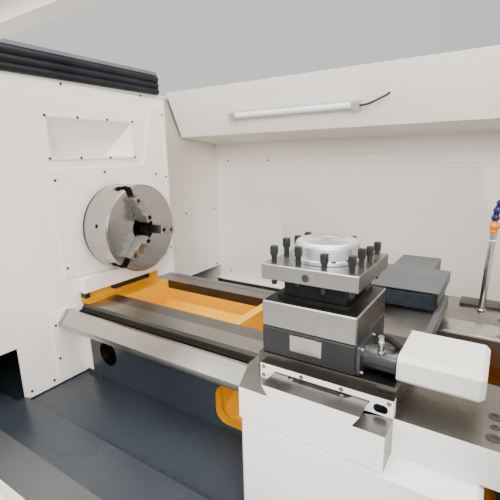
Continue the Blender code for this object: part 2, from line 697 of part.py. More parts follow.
WALL_FOOT = -0.408
CORNER_Y = 0.220             # side wall and rear side part meet here
BACK_WALL_SETBACK = 0.020
BACK_WALL = GUARD_REAR - BACK_WALL_SETBACK
NOSE_HOLE = 0.084
BED_HOLE_GAP = 0.004
CABINET_FRONT = -GUARD_FRONT
POCKET_LOW = (-0.187, 0.197)
POCKET_HIGH = (0.099, 0.310)
POCKET_FRAME = 0.006
POCKET_BACK_LOW = (-0.150, 0.235)
POCKET_BACK_HIGH = (0.030, 0.302)
POCKET_DEPTH = 0.050
NOTCH_EDGE = -0.334
NOTCH_TOP = -0.262
COVER_PANEL_SHARES = ((-0.466, -0.301), (-0.489, 0.438), (0.324, 0.446), (0.430, 0.891),
                      (0.537, 0.891), (0.537, -0.318), (-0.218, -0.318), (-0.443, -0.299))
COVER_PANEL_THICK = 0.004
LOWER_PANEL_LOW = (-0.239, -0.400)
LOWER_PANEL_HIGH = (-0.134, -0.203)
LOWER_FLANGE_TOP = -0.285
LOWER_FLANGE_REACH = 0.031
SEAL_BACK = 0.045
SEAL_FACE = 0.014
SEAL_LEFT = WALL - SEAL_BACK
SEAL_RIGHT = WALL + SEAL_FACE
SEAL_LIP = 0.012
SEAL_HEIGHT = 0.068
SEAL_TOP = GUARD_TOP + SEAL_HEIGHT
SEAL_RIDGES = 4
TRIM_WIDTH = 0.012
TRIM_PROUD = 0.006
BEAM_FRONT = -0.149
BEAM_REAR = 0.155
BEAM_BOTTOM = -0.170
BEAM_TOP = -0.1265
BEAM_REACH = 0.030
BEAM_SEAL_FRONT = -0.045
BEAM_SEAL_REAR = 0.095
BEAM_SEAL_DROP = 0.016


def build_side_wall():
    """Side wall at the chuck with the nose hole, pocket opening, bed cut-out and corner notch."""
    work = box("headstock_side_wall", (WALL - SHEET, CABINET_FRONT, WALL_FOOT),
               (WALL, BACK_WALL - CLEAR, GUARD_TOP))
    through = (WALL - SHEET - OVERRUN, WALL + OVERRUN)
    nose = rods("nose_hole", "X", NOSE_HOLE, through[1] - through[0], [(through[0], 0, 0)], 40)
    bed = box("bed_hole", (through[0], HEADSTOCK_BED_FRONT - BED_HOLE_GAP / 2, WALL_FOOT - OVERRUN),
              (through[1], BACK_WALL + OVERRUN, HEADSTOCK_SEAT + BED_HOLE_GAP))
    pocket = box("pocket_hole", (through[0], *[value + POCKET_FRAME for value in POCKET_LOW]),
                 (through[1], *[value - POCKET_FRAME for value in POCKET_HIGH]))
    notch = box("notch", (through[0], CABINET_FRONT - OVERRUN, WALL_FOOT - OVERRUN),
                (through[1], NOTCH_EDGE, NOTCH_TOP))
    cut(work, nose, bed, pocket, notch)
    strip = box("corner_strip", (WALL - SHEET / 2, CORNER_Y, HEADSTOCK_SEAT + TRIM_WIDTH),
                (WALL + TRIM_PROUD, CORNER_Y + TRIM_WIDTH, GUARD_TOP - TRIM_WIDTH))
    panel = box("lower_side_panel", (WALL - SHEET / 2, *LOWER_PANEL_LOW),
                (WALL + PANEL_PLATE, *LOWER_PANEL_HIGH))
    flange = box("lower_flange", (WALL, BED_FRONT - CLEAR - SHEET, LOWER_PANEL_LOW[1]),
                 (WALL + LOWER_FLANGE_REACH, BED_FRONT - CLEAR, LOWER_FLANGE_TOP))
    part(add(work, strip, panel, flange), CREAM)


def build_wall_pocket():
    """Pressed pocket: a screwed frame on the wall and a tapering box behind it."""
    inner_low = [value + POCKET_FRAME + SHEET for value in POCKET_LOW]
    inner_high = [value - POCKET_FRAME - SHEET for value in POCKET_HIGH]

    def corners(x, low, high, grow):
        (y0, z0), (y1, z1) = low, high
        return [(x, y0 - grow, z0 - grow), (x, y1 + grow, z0 - grow),
                (x, y1 + grow, z1 + grow), (x, y0 - grow, z1 + grow)]

    back = WALL - POCKET_DEPTH
    face = WALL + CLEAR + SHEET
    frame = box("wall_pocket", (WALL + CLEAR, *POCKET_LOW), (face, *POCKET_HIGH))
    skin = SHEET - CLEAR
    outer = loft("pocket_skin", corners(back, POCKET_BACK_LOW, POCKET_BACK_HIGH, skin),
                 corners(face, inner_low, inner_high, skin))
    hollow = loft("pocket_hollow", corners(back + SHEET, POCKET_BACK_LOW, POCKET_BACK_HIGH, 0),
                  corners(face + SHEET, inner_low, inner_high, 0))
    part(cut(add(frame, outer), hollow), CREAM)


def build_wall_covers():
    """Chuck cover panel, lower panel, cover beam with its rubber strip, and top rail."""
    face = WALL + CLEAR
    outline = [(GUARD_TOP * y, GUARD_TOP * z) for y, z in COVER_PANEL_SHARES]
    panel = bar("chuck_cover_panel", "X", outline, face, face + COVER_PANEL_THICK)
    hole = rods("panel_hole", "X", NOSE_HOLE, COVER_PANEL_THICK + OVERRUN + OVERRUN,
                [(face - OVERRUN, 0, 0)], 40)
    part(cut(panel, hole), CREAM)
    beam = box("cover_beam", (face, BEAM_FRONT, BEAM_BOTTOM), (face + BEAM_REACH, BEAM_REAR, BEAM_TOP))
    part(soften(beam, SHEET), CREAM)
    part(box("beam_seal", (face, BEAM_SEAL_FRONT, BEAM_BOTTOM - BEAM_SEAL_DROP),
             (face + BEAM_REACH - EDGE, BEAM_SEAL_REAR, BEAM_BOTTOM - CLEAR)), BLACK)
    step = (SEAL_RIGHT - SEAL_LEFT) / (SEAL_RIDGES + SEAL_RIDGES)
    low = GUARD_TOP + CLEAR
    outline = [(SEAL_LEFT, low), (SEAL_RIGHT, low)]
    for index in range(SEAL_RIDGES + SEAL_RIDGES):
        height = SEAL_TOP if index % 2 == 0 else SEAL_TOP - SEAL_LIP
        right = SEAL_RIGHT - step * index
        outline += [(right, height), (right - step, height)]
    part(bar("top_seal_rail", "Y", outline, CABINET_FRONT, CORNER_Y - TRIM_WIDTH), BLACK)


BAR_HOLE_RADIUS = 0.040


def build_cabinet():
    """Headstock cabinet skin, open to the wall and below, with the hole for long bars."""
    low = (LEFT, -GUARD_FRONT, FLOOR + GUARD_FOOT)
    high = (WALL - SHEET - CLEAR, GUARD_REAR, GUARD_TOP)
    work = shell("headstock_guard", low, high, ("+X", "-Z"), SHEET)
    hole = rods("bar_hole", "X", BAR_HOLE_RADIUS, OVERRUN + OVERRUN, [(LEFT - OVERRUN, 0, 0)], 32)
    part(cut(work, hole), CREAM)


RAIL_GROUP_LOW = 0.199
RAIL_GROUP_HIGH = 0.204
REAR_GUARD_RISE = 0.025
REAR_GUARD_TOP = GUARD_TOP + REAR_GUARD_RISE
REAR_GUARD_FOOT = -0.297
REAR_FLANGE = 0.024
ACCESS_LEFT = 0.178
ACCESS_END_GAP = 0.520
ACCESS_RIGHT = RIGHT - ACCESS_END_GAP
ACCESS_TOP = 0.166
ACCESS_BOTTOM = -0.240
ACCESS_THICK = 0.003
CORD_RAIL = 0.003
LATCH_INSET_LEFT = 0.079
LATCH_INSET_RIGHT = 0.099
LATCH_Z = 0.157
LATCH_RADIUS = 0.008
LATCH_PROUD = 0.006
CANOPY_REACH = 0.264         # back wall to the canopy's upper edge
CANOPY_FOOT_REACH = 0.201
CANOPY_RISE = 0.010
CANOPY_HEIGHT = 0.139
CANOPY_TOP = GUARD_TOP + CANOPY_RISE
CANOPY_FOOT = CANOPY_TOP - CANOPY_HEIGHT
CANOPY_FACE = ((BACK_WALL - CANOPY_REACH, CANOPY_TOP), (BACK_WALL - CANOPY_FOOT_REACH, CANOPY_FOOT))
CANOPY_SLOPE = 0.021
CANOPY_REAR_LOW = CANOPY_FOOT - CANOPY_SLOPE
CANOPY_REAR_TOP = REAR_GUARD_TOP - SHEET
CANOPY_END = RIGHT - SHEET - CLEAR
LAMP_LEFT = 0.125
LAMP_LENGTH = 0.405
LAMP_RIGHT = LAMP_LEFT + LAMP_LENGTH
LAMP_CAP = 0.020
LAMP_RISE = 0.055
LAMP_Z = CANOPY_FOOT + LAMP_RISE
LAMP_HALF = 0.012
LAMP_BACK = 0.008
LAMP_WALL = 0.001
LAMP_BULGE = 0.019
LAMP_LENS_HALF = 0.0095
CABLE_RADIUS = 0.003
CABLE_SPAN = 0.074
CABLE_BOW = 0.020
CABLE_LOOP_SHARES = ((0.016, 0.5), (0.243, 0.7), (0.486, 0.9), (0.730, 1.0), (0.946, 0.8), (1.0, 0.2))
CABLE_LIFT_SHARES = (0.0, 0.1, 0.35, 0.7, 0.95, 1.0)
CABLE_RISE = 0.022


def build_rear_guard():
    """Back wall with a bottom flange, two long rails and a latched access panel."""
    work = box("rear_guard", (WALL + CLEAR, BACK_WALL, REAR_GUARD_FOOT),
               (RIGHT - SHEET - CLEAR, BACK_WALL + SHEET, REAR_GUARD_TOP))
    middle = BACK_WALL + SHEET / 2
    flange = box("bottom_flange", (WALL + SHEET, BACK_WALL - REAR_FLANGE, REAR_GUARD_FOOT + SHEET),
                 (RIGHT - SHEET - SHEET, middle, REAR_GUARD_FOOT + SHEET + SHEET))
    rail = box("cord_rail", (WALL + SHEET, BACK_WALL - CORD_RAIL, RAIL_GROUP_LOW),
               (RIGHT - SHEET - SHEET, middle, RAIL_GROUP_HIGH))
    front = BACK_WALL - ACCESS_THICK
    panel = box("access_panel", (ACCESS_LEFT, front, ACCESS_BOTTOM), (ACCESS_RIGHT, middle, ACCESS_TOP))
    latches = rods("latches", "Y", LATCH_RADIUS, LATCH_PROUD + ACCESS_THICK,
                   [(x, front - LATCH_PROUD, LATCH_Z)
                    for x in (ACCESS_LEFT + LATCH_INSET_LEFT, ACCESS_RIGHT - LATCH_INSET_RIGHT)], 16)
    part(add(work, flange, rail, panel, latches), CREAM)


def build_canopy():
    """Hollow sheet canopy along the top of the back wall."""
    rear = BACK_WALL - CLEAR
    (y0, z0), (y1, z1) = CANOPY_FACE
    outer = [(y0, z0), (y1, z1), (rear, CANOPY_REAR_LOW), (rear, CANOPY_REAR_TOP)]
    inner = [(y0 + SHEET + SHEET, z0 - SHEET), (y1 + SHEET, z1 + SHEET),
             (rear - SHEET, CANOPY_REAR_LOW + SHEET), (rear - SHEET, CANOPY_REAR_TOP - SHEET - SHEET)]
    part(bar("canopy", "X", outer, WALL + TRIM_PROUD + CLEAR, CANOPY_END, [inner]), CREAM)


def on_canopy(along, off):
    """Point of the canopy's front face: distance up the slope from the lamp and off the face."""
    (y0, z0), (y1, z1) = CANOPY_FACE
    length = math.hypot(y1 - y0, z1 - z0)
    up = ((y0 - y1) / length, (z0 - z1) / length)
    out = (-up[1], up[0])
    share = (LAMP_Z - z1) / (z0 - z1)
    middle = (y1 + (y0 - y1) * share, LAMP_Z)
    return (middle[0] + up[0] * along + out[0] * off, middle[1] + up[1] * along + out[1] * off)


def build_lamp():
    """Strip lamp on the canopy: housing with end caps, a bulged lens and a short held cable."""
    half = LAMP_HALF - LAMP_WALL
    back = [on_canopy(-half, LAMP_WALL), on_canopy(half, LAMP_WALL),
            on_canopy(half, LAMP_BACK), on_canopy(-half, LAMP_BACK)]
    work = bar("lamp_housing", "X", back, LAMP_LEFT + LAMP_CAP / 2, LAMP_RIGHT - LAMP_CAP / 2)
    cap = [on_canopy(-LAMP_HALF, CLEAR), on_canopy(LAMP_HALF, CLEAR),
           on_canopy(LAMP_HALF, LAMP_BULGE), on_canopy(-LAMP_HALF, LAMP_BULGE)]
    add(work, bar("cap_left", "X", cap, LAMP_LEFT, LAMP_LEFT + LAMP_CAP),
        bar("cap_right", "X", cap, LAMP_RIGHT - LAMP_CAP, LAMP_RIGHT))
    part(work, GREY)
    crown = [on_canopy(along, off) for along, off in
             arc((0, LAMP_BACK + CLEAR), LAMP_LENS_HALF, 0, 180, 8)]
    lens = bar("lamp_lens", "X", crown, LAMP_LEFT + LAMP_CAP + CLEAR, LAMP_RIGHT - LAMP_CAP - CLEAR)
    part(lens, DIFFUSER)
    points = []
    for (along, off), share in zip(CABLE_LOOP_SHARES, CABLE_LIFT_SHARES):
        y, z = on_canopy(CABLE_RISE * share, CABLE_BOW * off + CABLE_RADIUS)
        points.append((LAMP_RIGHT + CABLE_SPAN * along, y, z))
    part(tube("lamp_cable", points, CABLE_RADIUS), BLACK)


CONTROL_INSET = 0.070
CONTROL_WIDTH = 0.360
CONTROL_RIGHT = RIGHT - CONTROL_INSET
CONTROL_LEFT = CONTROL_RIGHT - CONTROL_WIDTH
OPENING_INSET = 0.040        # door opening to the side wall, and to the control housing
DOOR_OPENING_LEFT = WALL + OPENING_INSET
DOOR_OPENING_RIGHT = CONTROL_LEFT - OPENING_INSET
DOOR_LAP = 0.070
DOOR_PARK = 0.010
DOOR_LENGTH = DOOR_OPENING_RIGHT - DOOR_OPENING_LEFT + DOOR_LAP
DOOR_LEFT = LEFT + DOOR_PARK
DOOR_REAR = -0.545
DOOR_THICK = 0.035
DOOR_BOTTOM = -0.385
DOOR_TOP = 0.355
DOOR_SILL = -0.405
DOOR_HEADER = 0.335
DOOR_RIM = 0.028
WINDOW_INSET_X = 0.160
WINDOW_INSET_Z = 0.130
WINDOW_ROUND = 0.040
GLASS_LIP = 0.012
GLASS_THICK = 0.006
GUIDE_HEIGHT = 0.020
GUIDE_TOP = DOOR_TOP + GUIDE_HEIGHT + CLEAR
HANDLE_INSET = 0.060
HANDLE_HALF = 0.130
HANDLE_RADIUS = 0.011


def build_front_guard():
    """Front skin with folded rims round the door opening, the two door rails and the right end."""
    foot = FLOOR + GUARD_FOOT
    outline = [(WALL + CLEAR, foot), (RIGHT - SHEET, foot), (RIGHT - SHEET, GUARD_TOP),
               (WALL + CLEAR, GUARD_TOP)]
    opening = [(DOOR_OPENING_LEFT, DOOR_SILL), (DOOR_OPENING_RIGHT, DOOR_SILL),
               (DOOR_OPENING_RIGHT, DOOR_HEADER), (DOOR_OPENING_LEFT, DOOR_HEADER)]
    left, right = DOOR_OPENING_LEFT - SHEET, DOOR_OPENING_RIGHT + SHEET
    low, high = DOOR_SILL - SHEET, DOOR_HEADER + SHEET
    rim = [(left, low), (right, low), (right, high), (left, high)]
    work = bar("front_guard", "Y", outline, -GUARD_FRONT, -GUARD_FRONT + SHEET, [opening])
    add(work, bar("opening_rim", "Y", rim, -GUARD_FRONT, -GUARD_FRONT + DOOR_RIM, [opening]))
    for name, low, high in (("door_rail_top", DOOR_TOP + CLEAR, GUIDE_TOP),
                            ("door_rail_bottom", DOOR_BOTTOM - CLEAR - GUIDE_HEIGHT, DOOR_BOTTOM - CLEAR)):
        add(work, box(name, (DOOR_LEFT, DOOR_REAR - DOOR_THICK / 2, low),
                      (DOOR_OPENING_RIGHT + OVERRUN, -GUARD_FRONT - CLEAR, high)))
        add(work, box(name + "_web", (WALL + DOOR_RIM, -GUARD_FRONT - OVERRUN, low),
                      (DOOR_OPENING_RIGHT + OVERRUN, -GUARD_FRONT + SHEET, high)))
    end = shell("end_guard", (RIGHT - DOOR_RIM, -GUARD_FRONT, FLOOR + GUARD_FOOT),
                (RIGHT, BACK_WALL - CLEAR - ACCESS_THICK, GUARD_TOP), ("-X", "-Z", "+Z", "+Y"), SHEET)
    part(add(work, end), CREAM)


def build_door(sliding):
    """Sliding door with a rounded window, its pane and a pull handle."""
    front = DOOR_REAR - DOOR_THICK
    right = DOOR_LEFT + DOOR_LENGTH
    work = box("door_panel", (DOOR_LEFT, front, DOOR_BOTTOM), (right, DOOR_REAR, DOOR_TOP))
    back = box("door_back", (DOOR_LEFT + SHEET, front + SHEET, DOOR_BOTTOM + SHEET),
               (right - SHEET, DOOR_REAR + OVERRUN, DOOR_TOP - SHEET))
    low = (DOOR_LEFT + WINDOW_INSET_X, DOOR_BOTTOM + WINDOW_INSET_Z)
    high = (right - WINDOW_INSET_X, DOOR_TOP - WINDOW_INSET_Z)
    hole = bar("door_hole", "Y", rounded(low, high, WINDOW_ROUND), front - OVERRUN, DOOR_REAR + OVERRUN)
    part(cut(work, back, hole), CREAM, sliding)
    pane_low = (low[0] - GLASS_LIP, low[1] - GLASS_LIP)
    pane_high = (high[0] + GLASS_LIP, high[1] + GLASS_LIP)
    inside = front + SHEET + CLEAR
    pane = bar("door_window", "Y", rounded(pane_low, pane_high, WINDOW_ROUND), inside, inside + GLASS_THICK)
    part(pane, GLAZING, sliding)
    x = right - HANDLE_INSET
    grip = -FRONT_REACH + HANDLE_RADIUS
    near = front - CLEAR
    handle = tube("door_handle", [(x, near, -HANDLE_HALF), (x, grip + HANDLE_RADIUS, -HANDLE_HALF),
                                  (x, grip, -HANDLE_HALF + HANDLE_RADIUS),
                                  (x, grip, HANDLE_HALF - HANDLE_RADIUS),
                                  (x, grip + HANDLE_RADIUS, HANDLE_HALF), (x, near, HANDLE_HALF)],
                  HANDLE_RADIUS)
    part(handle, BLACK, sliding)


CONTROL_FRONT = -0.590
CONTROL_BOTTOM = 0.000
CONTROL_TOP = 0.350
SCREEN_INSET = 0.030
SCREEN_LEFT = CONTROL_LEFT + SCREEN_INSET
SCREEN_WIDTH = 0.210
SCREEN_BOTTOM = 0.170
SCREEN_HEIGHT = 0.150
SCREEN_THICK = 0.004
STOP_INSET = 0.045
BUTTON_HEIGHT = 0.050
STOP_PLACE = (CONTROL_RIGHT - STOP_INSET, BUTTON_HEIGHT)
STOP_COLLAR = 0.016
STOP_HEAD = 0.020
STOP_NECK = 0.009
STOP_PROUD = 0.020
STOP_CAP = 0.009
KNOB_INSET = 0.110
KNOB_PLACE = (CONTROL_RIGHT - KNOB_INSET, BUTTON_HEIGHT)
KNOB_RADIUS = 0.014
KNOB_PROUD = 0.016
WHEEL_INSET = 0.120
WHEEL_HEIGHT = 0.070
WHEEL_PLACE = (CONTROL_LEFT + WHEEL_INSET, WHEEL_HEIGHT)
WHEEL_RADIUS = 0.036
WHEEL_PROUD = 0.014
WHEEL_DISH = 0.004
WHEEL_HUB = 0.012
STEM_RADIUS = 0.005
STEM_DEPTH = 0.012
KEY_ROWS = 2
KEY_COLUMNS = 6
KEY_PITCH = 0.034
KEY_SIZE = 0.011
KEY_PROUD = 0.003
KEYS_INSET = 0.055
KEYS_LEFT = CONTROL_LEFT + KEYS_INSET
KEYS_BOTTOM = 0.128


def build_control():
    """Control housing on the fixed right panel with screen, key pads and bores for its controls."""
    work = box("control_housing", (CONTROL_LEFT, CONTROL_FRONT, CONTROL_BOTTOM),
               (CONTROL_RIGHT, -GUARD_FRONT - CLEAR, CONTROL_TOP))
    soften(work, EDGE)
    recess = box("screen_recess", (SCREEN_LEFT - CLEAR, CONTROL_FRONT - OVERRUN, SCREEN_BOTTOM - CLEAR),
                 (SCREEN_LEFT + SCREEN_WIDTH + CLEAR, CONTROL_FRONT + SCREEN_THICK + CLEAR,
                  SCREEN_BOTTOM + SCREEN_HEIGHT + CLEAR))
    cut(work, recess)
    for name, (x, z), radius in (("stop_bore", STOP_PLACE, STOP_NECK),
                                 ("knob_bore", KNOB_PLACE, STEM_RADIUS),
                                 ("wheel_bore", WHEEL_PLACE, STEM_RADIUS)):
        cut(work, rods(name, "Y", radius + CLEAR, OVERRUN + STOP_PROUD,
                       [(x, CONTROL_FRONT - OVERRUN, z)], 24))
    for row in range(KEY_ROWS):
        for column in range(KEY_COLUMNS):
            x = KEYS_LEFT + KEY_PITCH * column
            z = KEYS_BOTTOM + KEY_PITCH * row / 2
            add(work, box(f"key_pad_{row}_{column}",
                          (x - KEY_SIZE, CONTROL_FRONT - KEY_PROUD, z - KEY_SIZE / 2),
                          (x + KEY_SIZE, CONTROL_FRONT + KEY_PROUD, z + KEY_SIZE / 2)))
    part(work, GREY)
    part(box("control_screen", (SCREEN_LEFT, CONTROL_FRONT, SCREEN_BOTTOM),
             (SCREEN_LEFT + SCREEN_WIDTH, CONTROL_FRONT + SCREEN_THICK, SCREEN_BOTTOM + SCREEN_HEIGHT)),
         SCREEN_GLASS)


def button(name, place, profile, colour, carrier, steps=32):
    """Round control drawn outwards from the panel's face along -Y."""
    outward = [(radius, -out) for radius, out in profile]
    part(turned(name, "Y", outward[::-1], (place[0], CONTROL_FRONT, place[1]), steps), colour, carrier)


def build_controls(stop, knob, wheel):
    """Emergency stop, mode knob and pulse hand wheel."""
    button("emergency_stop", STOP_PLACE,
           [(0, STOP_PROUD + STOP_CAP / 2), (STOP_COLLAR, STOP_PROUD + STOP_CAP / 2),
            (STOP_HEAD, STOP_PROUD), (STOP_HEAD, STOP_PROUD - STOP_CAP), (STOP_NECK, STOP_PROUD - STOP_CAP),
            (STOP_NECK, -STEM_DEPTH), (0, -STEM_DEPTH)], RED, stop)
    button("mode_knob", KNOB_PLACE,
           [(0, KNOB_PROUD), (KNOB_RADIUS - SHEET, KNOB_PROUD), (KNOB_RADIUS, CLEAR),
            (STEM_RADIUS, CLEAR), (STEM_RADIUS, -STEM_DEPTH), (0, -STEM_DEPTH)], BLACK, knob)
    button("panel_handwheel", WHEEL_PLACE,
           [(0, WHEEL_PROUD - WHEEL_DISH), (WHEEL_HUB, WHEEL_PROUD - WHEEL_DISH),
            (WHEEL_HUB + WHEEL_DISH, WHEEL_PROUD), (WHEEL_RADIUS, WHEEL_PROUD),
            (WHEEL_RADIUS, CLEAR), (STEM_RADIUS, CLEAR),
            (STEM_RADIUS, -STEM_DEPTH), (0, -STEM_DEPTH)], BLACK, wheel)


POWER_INSET = 0.040
POWER_LEFT = LEFT + POWER_INSET
POWER_LENGTH = 0.700
POWER_BOTTOM = -0.850
POWER_TOP = 0.300
POWER_DOOR = 0.020
POWER_HINGE = 0.006
RELAY_SIZE = (0.080, 0.060, 0.110)
RELAY_SHARES = ((0.09, 0.13), (0.34, 0.13), (0.60, 0.13), (0.17, 0.43), (0.51, 0.43), (0.34, 0.71))


def build_electrical_cabinet(hinge):
    """Electrical cabinet on the back of the headstock cabinet, its drives, and the hinged door."""
    low = (POWER_LEFT, GUARD_REAR + CLEAR, POWER_BOTTOM)
    high = (POWER_LEFT + POWER_LENGTH, REAR_REACH - POWER_DOOR - CLEAR, POWER_TOP)
    cabinet = shell("electrical_cabinet", low, high, ("+Y",), SHEET)
    height = POWER_TOP - POWER_BOTTOM
    for index, (x, z) in enumerate(RELAY_SHARES):
        start = (low[0] + POWER_LENGTH * x, low[1] + SHEET / 2, low[2] + height * z)
        add(cabinet, box(f"drive_{index}", start, [a + b for a, b in zip(start, RELAY_SIZE)]))
    part(cabinet, CREAM)
    door = shell("cabinet_door", (low[0], high[1] + CLEAR, low[2]),
                 (high[0], REAR_REACH, high[2]), ("-Y",), SHEET)
    part(door, CREAM, hinge)


# Saddle and its covers

SADDLE_TOP = -0.150
SEAT_TOP = -0.163            # lower seat at the rear
SEAT_FRONT = 0.180
SADDLE_BOTTOM = WAY_TOP + CLEAR
SADDLE_FRONT = -0.331
SADDLE_REAR = 0.304
SADDLE_CORNER = 0.026
SADDLE_CORNER_REAR = -0.262
BRIDGE_LENGTH = 0.246
BRIDGE_RIGHT = SADDLE_LEFT + BRIDGE_LENGTH
WING_FRONT = -0.288
WING_INNER_FRONT = -0.130
WING_INNER_REAR = 0.036
DOVE_TOP = -0.134
DOVE_INSET = 0.140
DOVE_MIDDLE = SADDLE_LEFT + DOVE_INSET
DOVE_TOP_HALF = 0.0735
DOVE_FOOT_HALF = 0.0635
DOVE_REAR = 0.195
CHANNEL_HALF = 0.013
CHANNEL_FLOOR = -0.1725
CHANNEL_FRONT = -0.250
PLATE_FRONT = -0.300
PLATE_REAR = -0.205
PLATE_HALF = 0.050
PLATE_THICK = 0.003
APRON_GAP = 0.0035
APRON_BACK = RAIL_FRONT - APRON_GAP
APRON_BOTTOM = -0.385
APRON_INSET = 0.030
APRON_RIGHT = SADDLE_RIGHT - APRON_INSET
APRON_SKIRT = -0.300
NUT_INSET = 0.071
NUT_LEFT = SADDLE_LEFT + NUT_INSET
NUT_LENGTH = 0.080
NUT_FRONT = 0.236
NUT_DROP = -0.292


def build_saddle(carrier):
    """H-shaped saddle with a lower rear seat, the cross slide's dovetail and the nut bracket."""
    plan = [(SADDLE_LEFT, SADDLE_CORNER_REAR), (SADDLE_LEFT + SADDLE_CORNER, SADDLE_FRONT),
            (BRIDGE_RIGHT, SADDLE_FRONT), (BRIDGE_RIGHT, WING_FRONT), (SADDLE_RIGHT, WING_FRONT),
            (SADDLE_RIGHT, WING_INNER_FRONT), (BRIDGE_RIGHT, WING_INNER_FRONT),
            (BRIDGE_RIGHT, WING_INNER_REAR), (SADDLE_RIGHT, WING_INNER_REAR),
            (SADDLE_RIGHT, SADDLE_REAR), (SADDLE_LEFT, SADDLE_REAR)]
    work = bar("saddle", "Z", plan, SADDLE_BOTTOM, SADDLE_TOP)
    foot = SEAT_TOP - OVERRUN
    cut(work, box("rear_seat", (SADDLE_LEFT - OVERRUN, SEAT_FRONT, SEAT_TOP),
                  (SADDLE_RIGHT + OVERRUN, SADDLE_REAR + OVERRUN, SADDLE_TOP + OVERRUN)))
    tail = [(DOVE_MIDDLE - DOVE_TOP_HALF, DOVE_TOP), (DOVE_MIDDLE - DOVE_FOOT_HALF, SADDLE_TOP),
            (DOVE_MIDDLE - DOVE_FOOT_HALF, foot), (DOVE_MIDDLE + DOVE_FOOT_HALF, foot),
            (DOVE_MIDDLE + DOVE_FOOT_HALF, SADDLE_TOP), (DOVE_MIDDLE + DOVE_TOP_HALF, DOVE_TOP)]
    add(work, bar("dovetail", "Y", tail, SADDLE_FRONT + CLEAR, DOVE_REAR))
    bracket = box("nut_bracket", (NUT_LEFT, NUT_FRONT, NUT_DROP),
                  (NUT_LEFT + NUT_LENGTH, SADDLE_REAR, SADDLE_BOTTOM + SHEET))
    add(work, bracket)
    channel = box("channel", (DOVE_MIDDLE - CHANNEL_HALF, CHANNEL_FRONT, CHANNEL_FLOOR),
                  (DOVE_MIDDLE + CHANNEL_HALF, DOVE_REAR + OVERRUN, DOVE_TOP + OVERRUN))
    seat = bar("plate_seat", "Z", rounded((DOVE_MIDDLE - PLATE_HALF - CLEAR, PLATE_FRONT - CLEAR),
                                          (DOVE_MIDDLE + PLATE_HALF + CLEAR, PLATE_REAR + CLEAR),
                                          CHANNEL_HALF), DOVE_TOP - PLATE_THICK - CLEAR, DOVE_TOP + OVERRUN)
    nut = rods("nut_hole", "X", Z_SCREW_RADIUS + CLEAR, NUT_LENGTH + OVERRUN + OVERRUN,
               [(NUT_LEFT - OVERRUN, Z_SCREW_Y, Z_SCREW_Z)])
    cut(work, channel, seat, nut)
    part(work, STEEL, carrier)
    plate = bar("screw_cover", "Z", rounded((DOVE_MIDDLE - PLATE_HALF, PLATE_FRONT),
                                            (DOVE_MIDDLE + PLATE_HALF, PLATE_REAR), CHANNEL_HALF),
                DOVE_TOP - PLATE_THICK, DOVE_TOP)
    part(plate, BLACK, carrier)


def build_apron(carrier):
    """White apron casting under the front of the saddle."""
    top = SADDLE_BOTTOM - CLEAR
    work = box("apron", (SADDLE_LEFT + SADDLE_CORNER, SADDLE_FRONT, APRON_BOTTOM),
               (APRON_RIGHT, APRON_BACK, top))
    step = box("apron_step", (APRON_RIGHT - (APRON_RIGHT - BRIDGE_RIGHT) / 2, SADDLE_FRONT - OVERRUN,
                              APRON_BOTTOM - OVERRUN),
               (APRON_RIGHT + OVERRUN, APRON_BACK + OVERRUN, APRON_SKIRT))
    part(soften(cut(work, step), EDGE), WHITE, carrier)


COVER_INSET = 0.016
COVER_WIDTH = 0.236
COVER_LEFT = SADDLE_LEFT + COVER_INSET
COVER_RIGHT = COVER_LEFT + COVER_WIDTH
COVER_TOP = -0.070
COVER_SKIRT = -0.094
COVER_FRONT = 0.022
COVER_REAR = 0.199
COVER_NOTCH = -0.137         # top of the notch for the screw
SERVO_INSET = 0.123
SERVO_WIDTH = 0.094
SERVO_LEFT = SADDLE_LEFT + SERVO_INSET
SERVO_RIGHT = SERVO_LEFT + SERVO_WIDTH
SERVO_FRONT = 0.2003
SERVO_SPLIT = 0.315
SERVO_REAR = 0.390
SERVO_TOP = -0.070
SERVO_MOTOR_INSET = 0.010
SERVO_MOTOR_TOP = -0.0905
X_SCREW_Z = -0.1485
X_SCREW_RADIUS = 0.008
X_SCREW_FRONT = -0.240
PIPE_INSET = 0.065
PIPE_PLACE = (SADDLE_RIGHT - PIPE_INSET, 0.194)
PIPE_TOP = 0.025
PIPE_RADIUS = 0.0095
PIPE_LEAN = 0.006
PIPE_FOOT = 0.012
NOZZLE_COLLAR = 0.015
NOZZLE_LENGTH = 0.022
HOSE_RADIUS = 0.0085
HOSE_LINKS = 7
HOSE_PITCH = 0.016
HOSE_BEND = math.radians(9)
HOSE_LINK_SHARES = ((0.08, 0.72), (0.45, 1.0), (0.85, 0.72))   # along a link, and of its radius


